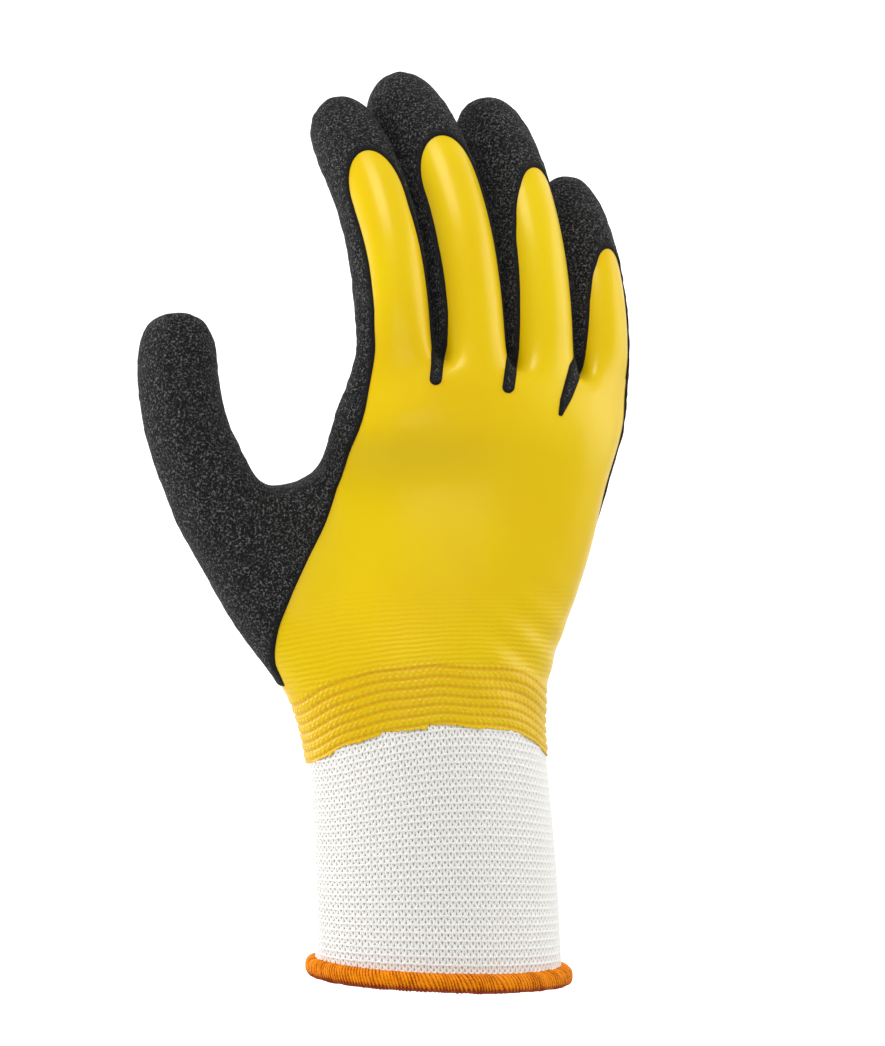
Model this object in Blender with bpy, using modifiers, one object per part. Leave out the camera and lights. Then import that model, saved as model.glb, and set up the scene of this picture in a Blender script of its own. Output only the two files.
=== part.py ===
"""A coated work glove for the right hand, open as a worn glove is.

Metres, +Z up from the wrist opening to the fingertips, back of the hand towards -Y, thumb towards -X.
One smooth outer surface is worked out first, from rings of cage points and a subdivision:

- rings of the cuff and the palm, each an ellipse between a left and a right end,
- a split, where the thumb leaves the palm, and another, where the four fingers leave it,
- a loop of six points carried along each digit's bent centre line.

Each piece is then a wall on its own stretch of that surface: the knitted cuff, the latex hand that
starts over the cuff's upper edge, its five digits, knitted as tubes of their own, and the grip coat
that lies on the latex. The hem closes the cuff.
"""

import math
from collections import namedtuple

import bmesh
import bpy
import numpy as np

MM = 0.001

# Driving sizes
CUFF_LENGTH = 64 * MM  # from the opening to the edge of the latex at the side of the wrist
CUFF_WIDTH = 70.4 * MM
CUFF_DEPTH = 45 * MM
PALM_LENGTH = 103 * MM  # from the edge of the latex to the roots of the fingers
PALM_WIDTH = 81 * MM  # across the knuckles
PALM_DEPTH = 32 * MM
FINGER_LENGTH = 88 * MM  # the middle finger's, along its centre line
FINGER_WIDTH = 19.2 * MM
THUMB_LENGTH = 53 * MM
THUMB_WIDTH = 20.5 * MM
THUMB_WEB_WIDTH = 10 * MM  # between the thumb's root and the palm's edge
THUMB_WEB_RISE = 8.5 * MM  # how far the web stands above the thumb's outer root
FINGER_WEB_SLOPE = 6 * MM  # the palm side of a finger's web lies this much higher than its back
CUFF_WALL = 1.2 * MM
CUFF_INSET = 0.9 * MM  # the knit lies this far inside the latex surface
LATEX_WALL = 1.6 * MM
LATEX_EDGE_WALL = 0.6 * MM  # the latex thins towards its lower edge
GRIP_WALL = 0.7 * MM
SEAT_GAP = 0.3 * MM
HEM_HEIGHT = 5.6 * MM
HEM_BITE = 3.2 * MM  # how far the cuff's edge stands in the hem
HEM_OUTER_ROLL = 2.6 * MM  # from the latex surface outwards
HEM_INNER_ROLL = 1.6 * MM  # from the cuff's inner face inwards

# Round loops of the cage lose this share of their radius when they are subdivided
BACK_COUNT = 10  # points on the back of a ring of the cage, and as many on its palm side
RING_COUNT = 2 * BACK_COUNT + 2
DIGIT_COUNT = 6
PALM_POWER = 2.4  # 2 is an ellipse, more is a flatter back and palm

# The cuff's rings, from the opening up. Height is a share of CUFF_LENGTH, shift of CUFF_WIDTH.
# Tilt is how much lower the little finger's side lies, per metre across.
CuffRing = namedtuple("CuffRing", "height shift width depth arch tilt")
CUFF_RINGS = (
    CuffRing(height=0.045, shift=0.000, width=1.005, depth=1.00, arch=0.00, tilt=0.080),
    CuffRing(height=0.560, shift=-0.020, width=1.000, depth=0.98, arch=0.04, tilt=0.035),
)

# The hand's rings. x is a share of PALM_WIDTH, y of PALM_DEPTH, z of PALM_LENGTH above the cuff.
# Arch lifts the back of the ring, as the knitted rows rise there, and split is how far the thumb
# has left the palm: 0 is one ellipse, 1 is a thumb and a palm side by side.
HandRing = namedtuple("HandRing", "left_x left_y left_z right_x right_y right_z depth arch split")
HAND_RINGS = (
    HandRing(-0.460, 0.00, 0.000, 0.368, 0.00, 0.000, 1.38, 0.085, 0.00),
    HandRing(-0.514, 0.06, 0.155, 0.372, 0.00, 0.165, 1.36, 0.07, 0.00),
    HandRing(-0.603, 0.19, 0.250, 0.427, 0.00, 0.280, 1.30, 0.04, 0.15),
    HandRing(-0.698, 0.31, 0.353, 0.492, 0.00, 0.398, 1.24, 0.02, 0.45),
    HandRing(-0.781, 0.42, 0.480, 0.553, 0.00, 0.532, 1.16, 0.01, 0.75),
    HandRing(-0.876, 0.50, 0.597, 0.602, 0.00, 0.690, 1.06, 0.00, 1.00),
)
WEB_SHARE = 0.295  # where the thumb's web stands across the split ring
THUMB_ROOT_DEPTH = 0.86  # of PALM_DEPTH

# The palm's rings above the thumb. The last one carries the fingers.
PalmRing = namedtuple("PalmRing", "left_x left_y left_z right_x right_y right_z depth arch fingers")
PALM_RINGS = (
    PalmRing(-0.362, 0.00, 0.840, 0.672, 0.08, 0.806, 0.98, 0.01, 0.35),
    PalmRing(-0.328, 0.00, 0.930, 0.700, 0.18, 0.868, 0.90, 0.02, 0.70),
    PalmRing(-0.292, 0.00, 1.010, 0.731, 0.30, 0.920, 0.78, 0.04, 1.00),
)

# The fingers. Centre is a share of the root ring's width, width of FINGER_WIDTH and reach of
# FINGER_LENGTH. Splay leans a finger towards the little finger's side, and curl towards the palm.
# The bare strip on its back faces roll degrees towards the little finger's side and ends at strip.
Finger = namedtuple(
    "Finger", "name centre width reach splay_root splay_tip curl_root curl_tip roll strip"
)
FINGERS = (
    Finger("index", 0.1297, 0.984, 0.875, 2.0, -9.5, 7.6, 49.9, -6.0, 0.717),
    Finger("middle", 0.3880, 1.000, 1.00, 0.5, -9.0, 7.5, 50.3, 5.0, 0.683),
    Finger("ring", 0.6400, 0.970, 0.92, 2.0, -4.6, 7.5, 47.4, 13.0, 0.650),
    Finger("little", 0.8860, 0.842, 0.68, 4.4, -5.5, 9.0, 46.7, 30.0, 0.567),
)
Bend = namedtuple("Bend", "splay_root splay_tip curl_root curl_tip")
THUMB_BEND = Bend(splay_root=-29.0, splay_tip=11.0, curl_root=11.0, curl_tip=18.5)
THUMB_FLARE = 0.16  # how much thicker the thumb is at its root

# Loops along a digit: reach is a share of its length, girth of its width
DigitLoop = namedtuple("DigitLoop", "reach girth")
DIGIT_LOOPS = (
    DigitLoop(0.13, 1.00),
    DigitLoop(0.38, 1.00),
    DigitLoop(0.63, 0.99),
    DigitLoop(0.89, 0.96),
    DigitLoop(1.04, 0.60),
)

# Where the grip coat ends on the back of the hand
STRIP_HALF_ANGLE = 50.0  # bare strip on the back of a finger, each way from its middle
STRIP_ROUND = 0.16  # length of the strip's rounded end, of a finger's length
SLOT_RADIUS = 2.3 * MM  # the coat's tongue between two fingers
# How far each tongue runs down the back from its web, and how far its foot lies to the side, as
# shares of FINGER_WIDTH
Slot = namedtuple("Slot", "reach lean")
SLOTS = (Slot(0.234, -0.130), Slot(0.286, -0.182), Slot(0.469, -0.417))
STRIP_START = 0.30  # of a finger's length, below which the hand's own edges take over
# Edge of the coat on the thumb's side of the back, the little finger's side, and across the palm:
# x is a share of PALM_WIDTH and z of PALM_LENGTH above the cuff
EdgePoint = namedtuple("EdgePoint", "x z")
THUMB_SIDE_EDGE = (
    EdgePoint(-0.620, 0.08),
    EdgePoint(-0.525, 0.15),
    EdgePoint(-0.555, 0.20),
    EdgePoint(-0.583, 0.26),
    EdgePoint(-0.580, 0.33),
    EdgePoint(-0.542, 0.41),
    EdgePoint(-0.476, 0.51),
    EdgePoint(-0.403, 0.61),
    EdgePoint(-0.351, 0.72),
    EdgePoint(-0.325, 0.82),
    EdgePoint(-0.285, 0.93),
    EdgePoint(-0.255, 1.03),
    EdgePoint(-0.245, 1.12),
)
LITTLE_SIDE_EDGE = (
    EdgePoint(0.570, 0.45),
    EdgePoint(0.560, 0.60),
    EdgePoint(0.575, 0.67),
    EdgePoint(0.610, 0.74),
    EdgePoint(0.650, 0.81),
    EdgePoint(0.690, 0.90),
    EdgePoint(0.720, 1.03),
)
PALM_EDGE = (
    EdgePoint(-0.52, 0.17),
    EdgePoint(0.00, 0.14),
    EdgePoint(0.30, 0.24),
    EdgePoint(0.56, 0.55),
)

CUFF_COLOUR = (0.86, 0.85, 0.81)
LATEX_COLOUR = (0.90, 0.68, 0.01)
GRIP_COLOUR = (0.035, 0.035, 0.037)
HEM_COLOUR = (0.90, 0.33, 0.02)


def cage_scale(points):
    """How much larger a round loop of cage points is than the circle that it becomes."""
    return 1.0 / (2 / 3 + math.cos(2 * math.pi / points) / 3)


def ease(share):
    """0 to 1 with no slope at either end."""
    share = np.clip(share, 0.0, 1.0)
    return share * share * (3 - 2 * share)


def oval(across, power):
    """Half-depth of a unit oval at a share across its width."""
    return (1 - np.abs(2 * across - 1) ** power) ** (1 / power)


# Rings and loops of the cage


def cuff_ring(ring):
    """A ring of the cuff: left end, ten points on the back, right end, ten on the palm side."""
    angle = math.pi + 2 * math.pi * np.arange(RING_COUNT) / RING_COUNT
    scale = cage_scale(RING_COUNT)
    x = ring.shift * CUFF_WIDTH + scale * ring.width * CUFF_WIDTH / 2 * np.cos(angle)
    y = scale * ring.depth * CUFF_DEPTH / 2 * np.sin(angle)
    z = ring.height * CUFF_LENGTH - ring.tilt * x
    z = z + ring.arch * PALM_LENGTH * np.clip(-np.sin(angle), 0, 1) ** 2
    return np.stack([x, y, z], axis=1)


def even_shares(count):
    """Shares across a width of so many points, evenly spaced round half an ellipse."""
    angle = np.pi * np.arange(1, count + 1) / (count + 1)
    return (1 - np.cos(angle)) / 2


def finger_shares():
    """Shares across the root ring where each finger's back begins and ends."""
    width = root_width()
    half = 0.40 * FINGER_WIDTH / width
    return np.array(
        [share for f in FINGERS for share in (f.centre - half * f.width, f.centre + half * f.width)]
    )


def root_width():
    """Width of the ring that carries the fingers."""
    return (PALM_RINGS[-1].right_x - PALM_RINGS[-1].left_x) * PALM_WIDTH


def ring_bow(ring):
    """How the middle of a ring runs from its left end to its right: 1 is straight, 2 is bowed."""
    return 1 if isinstance(ring, HandRing) else 2


def place(ring, across, back):
    """Points at shares across a ring: back is -1 on the back of the hand, 0 at a side, 1 on the palm."""
    x = (ring.left_x + (ring.right_x - ring.left_x) * across) * PALM_WIDTH
    y = (ring.left_y + (ring.right_y - ring.left_y) * across**ring_bow(ring)) * PALM_DEPTH
    z = CUFF_LENGTH + (ring.left_z + (ring.right_z - ring.left_z) * across) * PALM_LENGTH
    y = y + back * ring.depth * PALM_DEPTH / 2
    z = z + ring.arch * PALM_LENGTH * np.clip(-back, 0, 1) ** 2
    return np.stack([x, y, z], axis=1)


def ring_of(back_points, right, palm_points, left):
    """A closed ring in the cage's order: left end, back, right end, palm side from right to left."""
    return np.concatenate([left, back_points, right, palm_points[::-1]])


def whole_ring(ring):
    """One ellipse round thumb and palm together."""
    across = even_shares(BACK_COUNT)
    scale = cage_scale(RING_COUNT)
    depth = scale * oval(across, 2)
    across = 0.5 + (across - 0.5) * scale
    ends = np.array([0.5 - 0.5 * scale, 0.5 + 0.5 * scale])
    left, right = place(ring, ends, np.zeros(2))
    return ring_of(place(ring, across, -depth), [right], place(ring, across, depth), [left])


def split_ring(ring):
    """A thumb and a palm side by side, whose web stands higher than both ends."""
    web = WEB_SHARE
    half_web = THUMB_WEB_WIDTH / 2 / ((ring.right_x - ring.left_x) * PALM_WIDTH)
    thumb_width, palm_left = web - half_web, web + half_web
    across = np.concatenate(
        [thumb_width * np.array([0.22, 0.78]), palm_left + (1 - palm_left) * even_shares(8)]
    )
    thumb_depth = 0.92 * THUMB_ROOT_DEPTH / ring.depth * np.ones(2)
    depth = np.concatenate([thumb_depth, oval(even_shares(8), PALM_POWER)])
    ends = np.array([0.0, 1.0])
    left, right = place(ring, ends, np.zeros(2))
    made = ring_of(place(ring, across, -depth), [right], place(ring, across, depth), [left])
    shares = np.concatenate([[0.0], across, [1.0], across[::-1]])
    rise = np.where(shares < web, shares / web, 1 - (shares - web) / (1 - web))
    made[:, 2] += THUMB_WEB_RISE * ease(rise)
    return made


def hand_ring(ring):
    """A ring between the wrist and the thumb's web."""
    return (1 - ring.split) * whole_ring(ring) + ring.split * split_ring(ring)


def web_sides(ring):
    """The two middle points of the thumb's web: the thumb's and the palm's."""
    thumb_side, palm_side = (ring[2] + ring[-2]) / 2, (ring[3] + ring[-3]) / 2
    return thumb_side, palm_side


def palm_ring(ring):
    """A ring of the palm above the thumb: left end, eight points, right end, eight points."""
    across = (1 - ring.fingers) * even_shares(8) + ring.fingers * finger_shares()
    depth = oval(across, PALM_POWER)
    left, right = place(ring, np.array([0.0, 1.0]), np.zeros(2))
    made = ring_of(place(ring, across, -depth), [right], place(ring, across, depth), [left])
    made[10:, 2] += ring.fingers * FINGER_WEB_SLOPE
    made[[0, 9], 2] += ring.fingers * FINGER_WEB_SLOPE / 2
    return made


def finger_root_sides(ring):
    """The side points of each finger's root loop, as (left, right) pairs."""
    last = PALM_RINGS[-1]
    half = 0.5 * FINGER_WIDTH / root_width()
    pairs = []
    for f in FINGERS:
        across = np.array([f.centre - half * f.width, f.centre + half * f.width])
        sides = place(last, across, np.zeros(2))
        sides[:, 2] += FINGER_WEB_SLOPE / 2
        pairs.append(list(sides))
    pairs[0][0] = ring[0]
    pairs[-1][1] = ring[9]
    return pairs


# Digits

Digit = namedtuple("Digit", "length width splay_root splay_tip curl_root curl_tip flare")
LINE_SAMPLES = 61


def digit_of(finger):
    """A finger's own sizes from its row."""
    return Digit(
        FINGER_LENGTH * finger.reach,
        FINGER_WIDTH * finger.width,
        finger.splay_root,
        finger.splay_tip,
        finger.curl_root,
        finger.curl_tip,
        0.0,
    )


THUMB = Digit(THUMB_LENGTH, THUMB_WIDTH, *THUMB_BEND, THUMB_FLARE)


def centre_line(digit, root):
    """Points along a digit's bent centre line, with its direction, side and palm-side axes.

    The line's angles change smoothly from root to tip, and its points are their running sum.
    """
    share = np.linspace(0, 1, LINE_SAMPLES)
    bend = ease(share)
    splay = np.radians(digit.splay_root + (digit.splay_tip - digit.splay_root) * bend)
    curl = np.radians(digit.curl_root + (digit.curl_tip - digit.curl_root) * bend)
    along = np.stack(
        [np.sin(splay) * np.cos(curl), np.sin(curl), np.cos(splay) * np.cos(curl)], axis=1
    )
    side = np.stack([np.cos(splay), np.zeros_like(splay), -np.sin(splay)], axis=1)
    steps = (along[1:] + along[:-1]) / 2 * digit.length / (LINE_SAMPLES - 1)
    points = root + np.concatenate([np.zeros((1, 3)), np.cumsum(steps, axis=0)])
    return share, points, along, side, np.cross(along, side)


def digit_loops(digit, root_loop):
    """The loops of cage points along a digit, from its root's centre to its tip."""
    share, points, along, side, palm = centre_line(digit, root_loop.mean(axis=0))
    angle = math.pi + 2 * math.pi * np.arange(DIGIT_COUNT) / DIGIT_COUNT
    loops = []
    for loop in DIGIT_LOOPS:
        reach = min(loop.reach, 1.0)
        centre, outwards, across, down = (
            np.array([np.interp(reach, share, axis) for axis in values.T])
            for values in (points, along, side, palm)
        )
        centre = centre + outwards * (loop.reach - reach) * digit.length
        girth = loop.girth * (1 + digit.flare * (1 - reach) ** 2)
        radius = cage_scale(DIGIT_COUNT) * girth * digit.width / 2
        loops.append(
            centre
            + radius * np.outer(np.cos(angle), across)
            + radius * np.outer(np.sin(angle), down)
        )
    return loops


# The cage and its surface


class Cage:
    """Points and four-sided faces of the coarse shape, with each point's row up the glove."""

    def __init__(self):
        self.points, self.rows, self.faces = [], [], []

    def add(self, points, row):
        """Adds points and returns their numbers."""
        first = len(self.points)
        self.points.extend(points)
        self.rows.extend([row] * len(points))
        return list(range(first, len(self.points)))

    def bridge(self, lower, upper):
        """Joins two closed rings of as many points with a band of faces."""
        for i, (a, b) in enumerate(zip(lower, upper)):
            after = (i + 1) % len(lower)
            self.faces.append((a, lower[after], upper[after], b))

    def digit(self, digit, root):
        """Carries a digit's loops from its root loop and closes the tip."""
        below = root
        for loop in digit_loops(digit, np.array([self.points[i] for i in root])):
            above = self.add(loop, DIGIT_ROW)
            self.bridge(below, above)
            below = above
        left, back_left, back_right, right, palm_right, palm_left = below
        self.faces.append((left, back_left, back_right, right))
        self.faces.append((left, right, palm_right, palm_left))


ROOT_ROW = len(HAND_RINGS) - 1 + len(PALM_RINGS)  # the fingers' roots; the digits' rows lie above
DIGIT_ROW = 2 * ROOT_ROW + 4


def glove_cage():
    """The coarse shape of the whole glove, open at the wrist."""
    cage = Cage()
    rows = [cuff_ring(ring) for ring in CUFF_RINGS] + [hand_ring(ring) for ring in HAND_RINGS]
    rings = [cage.add(points, row - len(CUFF_RINGS)) for row, points in enumerate(rows)]
    for lower, upper in zip(rings, rings[1:]):
        cage.bridge(lower, upper)
    split, split_row = rings[-1], len(HAND_RINGS) - 1
    thumb_side, palm_side = cage.add(web_sides(rows[-1]), split_row)
    cage.faces.append((split[2], split[3], palm_side, thumb_side))
    cage.faces.append((thumb_side, palm_side, split[-3], split[-2]))
    cage.digit(THUMB, [split[0], split[1], split[2], thumb_side, split[-2], split[-1]])

    lower = [palm_side] + split[3:-2]
    for row, ring in enumerate(PALM_RINGS, start=split_row + 1):
        points = palm_ring(ring)
        upper = cage.add(points, row)
        cage.bridge(lower, upper)
        lower = upper
    sides = finger_root_sides(points)
    left_side = lower[0]
    for number, finger in enumerate(FINGERS):
        back_left, back_right = lower[1 + 2 * number], lower[2 + 2 * number]
        palm_left, palm_right = lower[-1 - 2 * number], lower[-2 - 2 * number]
        last = number == len(FINGERS) - 1
        right_side = lower[9] if last else cage.add([sides[number][1]], ROOT_ROW)[0]
        cage.digit(
            digit_of(finger), [left_side, back_left, back_right, right_side, palm_right, palm_left]
        )
        if not last:
            next_left = cage.add([sides[number + 1][0]], ROOT_ROW)[0]
            cage.faces.append((back_right, lower[3 + 2 * number], next_left, right_side))
            cage.faces.append((right_side, next_left, lower[-3 - 2 * number], palm_right))
            left_side = next_left
    return cage


def mesh_object(name, mesh):
    """A new object in the glove's collection."""
    made = bpy.data.objects.new(name, mesh)
    GLOVE.objects.link(made)
    return made


def add_modifier(made, kind, **settings):
    """A modifier with its settings."""
    modifier = made.modifiers.new(kind.title(), kind)
    for name, value in settings.items():
        setattr(modifier, name, value)
    return modifier


def evaluated_mesh(made):
    """The mesh that an object's modifiers make, after which the object is removed."""
    graph = bpy.context.evaluated_depsgraph_get()
    mesh = bpy.data.meshes.new_from_object(made.evaluated_get(graph))
    bpy.data.objects.remove(made)
    return mesh


def outer_surface(levels):
    """The glove's outer latex surface, with each point's row up the glove as an attribute."""
    cage = glove_cage()
    mesh = bpy.data.meshes.new("glove_cage")
    mesh.from_pydata([tuple(p) for p in cage.points], [], cage.faces)
    rows = mesh.attributes.new("row", "FLOAT", "POINT")
    rows.data.foreach_set("value", np.array(cage.rows, np.float32))
    made = mesh_object("glove_cage", mesh)
    add_modifier(made, "SUBSURF", levels=levels, render_levels=levels)
    add_modifier(made, "TRIANGULATE", quad_method="FIXED")
    return evaluated_mesh(made)


def points_of(mesh):
    """A mesh's points as an array."""
    values = np.empty(len(mesh.vertices) * 3, np.float32)
    mesh.vertices.foreach_get("co", values)
    return values.reshape(-1, 3).astype(float)


def rows_of(mesh):
    """The row of each point of a mesh."""
    values = np.empty(len(mesh.vertices), np.float32)
    mesh.attributes["row"].data.foreach_get("value", values)
    return values


def kept_faces(mesh, keep):
    """A copy of a mesh with only the faces whose points are all kept."""
    copy = mesh.copy()
    work = bmesh.new()
    work.from_mesh(copy)
    gone = [face for face in work.faces if not all(keep[v.index] for v in face.verts)]
    bmesh.ops.delete(work, geom=gone, context="FACES")
    work.to_mesh(copy)
    work.free()
    return copy


# Where the grip coat lies


def edge_at(edge, value, by):
    """The other coordinate of an edge's line at a value of x or z, as shares."""
    xs, zs = np.array([p.x for p in edge]), np.array([p.z for p in edge])
    return np.interp(value, xs, zs) if by == "x" else np.interp(value, zs, xs)


def trunk_bareness(points):
    """How far inside the bare latex a point of the palm or wrist lies, in metres; negative is coated."""
    x = points[:, 0] / PALM_WIDTH
    z = (points[:, 2] - CUFF_LENGTH) / PALM_LENGTH
    rings = HAND_RINGS[:-1] + PALM_RINGS
    left, right, left_y, right_y = (
        np.interp(z, [(r.left_z + r.right_z) / 2 for r in rings], [getattr(r, name) for r in rings])
        for name in ("left_x", "right_x", "left_y", "right_y")
    )
    bow = 1 + ease((z - HAND_RINGS[-1].right_z) / 0.15)
    across = np.clip((x - left) / (right - left), 0, 1) ** bow
    middle = (left_y + (right_y - left_y) * across) * PALM_DEPTH
    back = np.minimum(x - edge_at(THUMB_SIDE_EDGE, z, "z"), edge_at(LITTLE_SIDE_EDGE, z, "z") - x)
    palm = (edge_at(PALM_EDGE, x, "x") - z) * PALM_LENGTH
    towards_palm = ease(0.5 + (points[:, 1] - middle) / (PALM_DEPTH / 4))
    return (1 - towards_palm) * back * PALM_WIDTH + towards_palm * palm


def slot_bareness(points, web, slot):
    """Distance from the coat's tongue that runs down the back from a finger's web."""
    reach, lean = slot.reach * FINGER_WIDTH, slot.lean * FINGER_WIDTH
    height = np.clip((points[:, 2] - web[2]) / reach + 1, 0, None)
    axis_x = web[0] + lean * np.clip(1 - height, 0, 1) ** 1.5
    axis_z = web[2] + reach * (height - 1)
    distance = np.hypot(points[:, 0] - axis_x, points[:, 2] - axis_z) - SLOT_RADIUS
    return np.where(points[:, 1] > web[1] + reach, PALM_WIDTH, distance)


def finger_roots():
    """The centre of each finger's root, and the middle of each web between two fingers."""
    ring = palm_ring(PALM_RINGS[-1])
    sides = finger_root_sides(ring)
    centres = []
    for number, (left, right) in enumerate(sides):
        backs = ring[[1 + 2 * number, 2 + 2 * number]]
        palms = ring[[-1 - 2 * number, -2 - 2 * number]]
        centres.append(np.concatenate([[left, right], backs, palms]).mean(axis=0))
    webs = [(a[1] + b[0]) / 2 for a, b in zip(sides, sides[1:])]
    return centres, webs


def grip_bareness(points):
    """How far inside the bare latex each point lies, in metres; negative is under the grip coat."""
    centres, webs = finger_roots()
    bare = trunk_bareness(points)
    for web, slot in zip(webs, SLOTS):
        bare = np.minimum(bare, slot_bareness(points, web, slot))
    hand = bare
    nearest = np.full(len(points), np.inf)
    for finger, root in zip(FINGERS, centres):
        digit = digit_of(finger)
        share, line, _, side, palm = centre_line(digit, root)
        apart = np.linalg.norm(points[:, None, :] - line[None, :, :], axis=2)
        near = apart.argmin(axis=1)
        offset = points - line[near]
        lateral = np.einsum("ij,ij->i", offset, side[near])
        below = np.einsum("ij,ij->i", offset, palm[near])
        turn = np.degrees(np.arctan2(lateral, -below)) - finger.roll
        end = np.clip((share[near] - finger.strip + STRIP_ROUND) / STRIP_ROUND, 0, None)
        inside = 1 - np.hypot(turn / STRIP_HALF_ANGLE, end)
        strip = inside * math.radians(STRIP_HALF_ANGLE) * digit.width / 2
        distance = apart.min(axis=1)
        mine = (near > 0) & (distance < nearest) & (distance < digit.width * 0.8)
        own = ease(share[near] / STRIP_START)
        bare = np.where(mine, own * strip + (1 - own) * hand, bare)
        nearest = np.where(near > 0, np.minimum(nearest, distance), nearest)
    _, thumb_root, _ = digit_roots()[0]
    _, line, _, _, _ = centre_line(THUMB, thumb_root)
    apart = np.linalg.norm(points[:, None, :] - line[None, :, :], axis=2)
    on_thumb = (apart.argmin(axis=1) > 0) & (apart.min(axis=1) < THUMB_WIDTH)
    return np.where(on_thumb, -THUMB_WIDTH, bare)


def clipped_to_coat(mesh):
    """A copy of the surface cut along the grip coat's edge, with only the coated side kept."""
    bare = grip_bareness(points_of(mesh))
    bare[rows_of(mesh) < 0] = PALM_WIDTH
    copy = mesh.copy()
    work = bmesh.new()
    work.from_mesh(copy)
    work.verts.ensure_lookup_table()
    level = {vert: bare[vert.index] for vert in work.verts}
    for edge in list(work.edges):
        a, b = edge.verts
        if level[a] * level[b] < 0:
            share = level[a] / (level[a] - level[b])
            if share < CLIP_SNAP:
                level[a] = 0.0
            elif share > 1 - CLIP_SNAP:
                level[b] = 0.0
    for edge in list(work.edges):
        a, b = edge.verts
        if level[a] * level[b] < 0:
            _, new = bmesh.utils.edge_split(edge, a, level[a] / (level[a] - level[b]))
            level[new] = 0.0
    for face in list(work.faces):
        cuts = [v for v in face.verts if level[v] == 0.0]
        if len(cuts) >= 2 and any(level[v] > 0 for v in face.verts) and any(level[v] < 0 for v in face.verts):
            bmesh.utils.face_split(face, cuts[0], cuts[-1])
    gone = [f for f in work.faces if sum(level[v] for v in f.verts) >= 0]
    bmesh.ops.delete(work, geom=gone, context="FACES")
    bmesh.ops.triangulate(work, faces=[f for f in work.faces if len(f.verts) > 4])
    work.to_mesh(copy)
    work.free()
    return copy


CLIP_SNAP = 0.12

# Pieces


def finish(made, colour, roughness):
    """Smooth shading and one plain material, which pieces of one colour share."""
    material = bpy.data.materials.new(made.name)
    material.use_nodes = True
    shader = material.node_tree.nodes["Principled BSDF"]
    shader.inputs["Base Color"].default_value = (*colour, 1.0)
    shader.inputs["Roughness"].default_value = roughness
    shader.inputs["Metallic"].default_value = 0.0
    made.data.materials.clear()
    made.data.materials.append(material)
    made.data.shade_smooth()
    return made


def knit_cuff(surface):
    """The knitted cuff, whose upper edge stands inside the latex."""
    mesh = kept_faces(surface, rows_of(surface) <= 0.5)
    made = mesh_object("knit_cuff", mesh)
    add_modifier(made, "DISPLACE", strength=-CUFF_INSET, mid_level=0.0)
    add_modifier(made, "SOLIDIFY", thickness=CUFF_WALL, offset=-1.0)
    return finish(made, CUFF_COLOUR, 0.9)


def latex_twins(surface):
    """Each point's twin on the latex wall's inner face. The wall thins to a fine edge over the cuff."""
    normals = np.empty(len(surface.vertices) * 3, np.float32)
    surface.vertices.foreach_get("normal", normals)
    thin = LATEX_EDGE_WALL / LATEX_WALL
    walls = LATEX_WALL * (thin + (1 - thin) * ease(rows_of(surface) - 0.5))
    return points_of(surface) - walls[:, None] * normals.reshape(-1, 3)


def latex_wall(name, surface, twins, faces, lift=(0.0, 0.0, 0.0)):
    """A closed wall on some faces of the surface, their twins inside and a rim round each open edge.

    The lift moves the points of the open edges.
    """
    outer = points_of(surface)
    sides = {(a, b) for face in faces for a, b in zip(face, face[1:] + face[:1])}
    rim = sorted((a, b) for a, b in sides if (b, a) not in sides)
    number = {point: i for i, point in enumerate(sorted({point for face in faces for point in face}))}
    kept = list(number)
    shift = np.zeros((len(kept), 3))
    shift[[number[a] for a, _ in rim]] = lift
    points = np.concatenate([outer[kept] + shift, twins[kept] + shift])
    inside = len(kept)
    made = [tuple(number[p] for p in face) for face in faces]
    made += [tuple(inside + p for p in reversed(face)) for face in made]
    for a, b in rim:
        first, second, third, fourth = number[b], number[a], inside + number[a], inside + number[b]
        if a > b:
            first, second, third, fourth = second, third, fourth, first
        made += [(first, second, third), (first, third, fourth)]
    mesh = bpy.data.meshes.new(name)
    mesh.from_pydata([tuple(p) for p in points], [], made)
    return finish(mesh_object(name, mesh), LATEX_COLOUR, 0.4)


def digit_roots():
    """Each digit's name, its root's centre and its own sizes, from the thumb to the little finger."""
    split_ring_points = hand_ring(HAND_RINGS[-1])
    thumb_root = split_ring_points[[0, 1, 2, -2, -1]].mean(axis=0)
    roots = [("thumb", thumb_root, THUMB)]
    for finger, root in zip(FINGERS, finger_roots()[0]):
        roots.append((finger.name, root, digit_of(finger)))
    return roots


def joined_groups(faces):
    """The groups of faces that meet at points."""
    groups = []
    for face in faces:
        met = [group for group in groups if not group[0].isdisjoint(face)]
        points = set(face).union(*(group[0] for group in met))
        members = [face] + [member for group in met for member in group[1]]
        groups = [group for group in groups if all(group is not other for other in met)]
        groups.append((points, members))
    return [members for _, members in groups]


def latex_hand(surface):
    """The latex hand from its edge over the cuff to the digits' roots, and its five hollow digits."""
    points, rows, twins = points_of(surface), rows_of(surface), latex_twins(surface)
    faces = [tuple(face.vertices) for face in surface.polygons]
    hand = [f for f in faces if rows[list(f)].min() >= 0 and rows[list(f)].max() <= ROOT_ROW]
    latex_wall("latex_hand", surface, twins, hand)
    digits = joined_groups(f for f in faces if rows[list(f)].max() > ROOT_ROW)
    digits.sort(key=lambda group: np.mean([points[list(face), 0].mean() for face in group]))
    for own, (name, root, digit) in zip(digits, digit_roots()):
        _, _, along, _, _ = centre_line(digit, root)
        latex_wall("latex_" + name, surface, twins, own, SEAT_GAP * along[0])


def grip_coat(surface):
    """The grip coat over palm, thumb, finger sides and fingertips."""
    made = mesh_object("grip_coat", clipped_to_coat(surface))
    add_modifier(made, "DISPLACE", strength=SEAT_GAP, mid_level=0.0)
    add_modifier(made, "SOLIDIFY", thickness=GRIP_WALL, offset=1.0)
    return finish(made, GRIP_COLOUR, 0.85)


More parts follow.
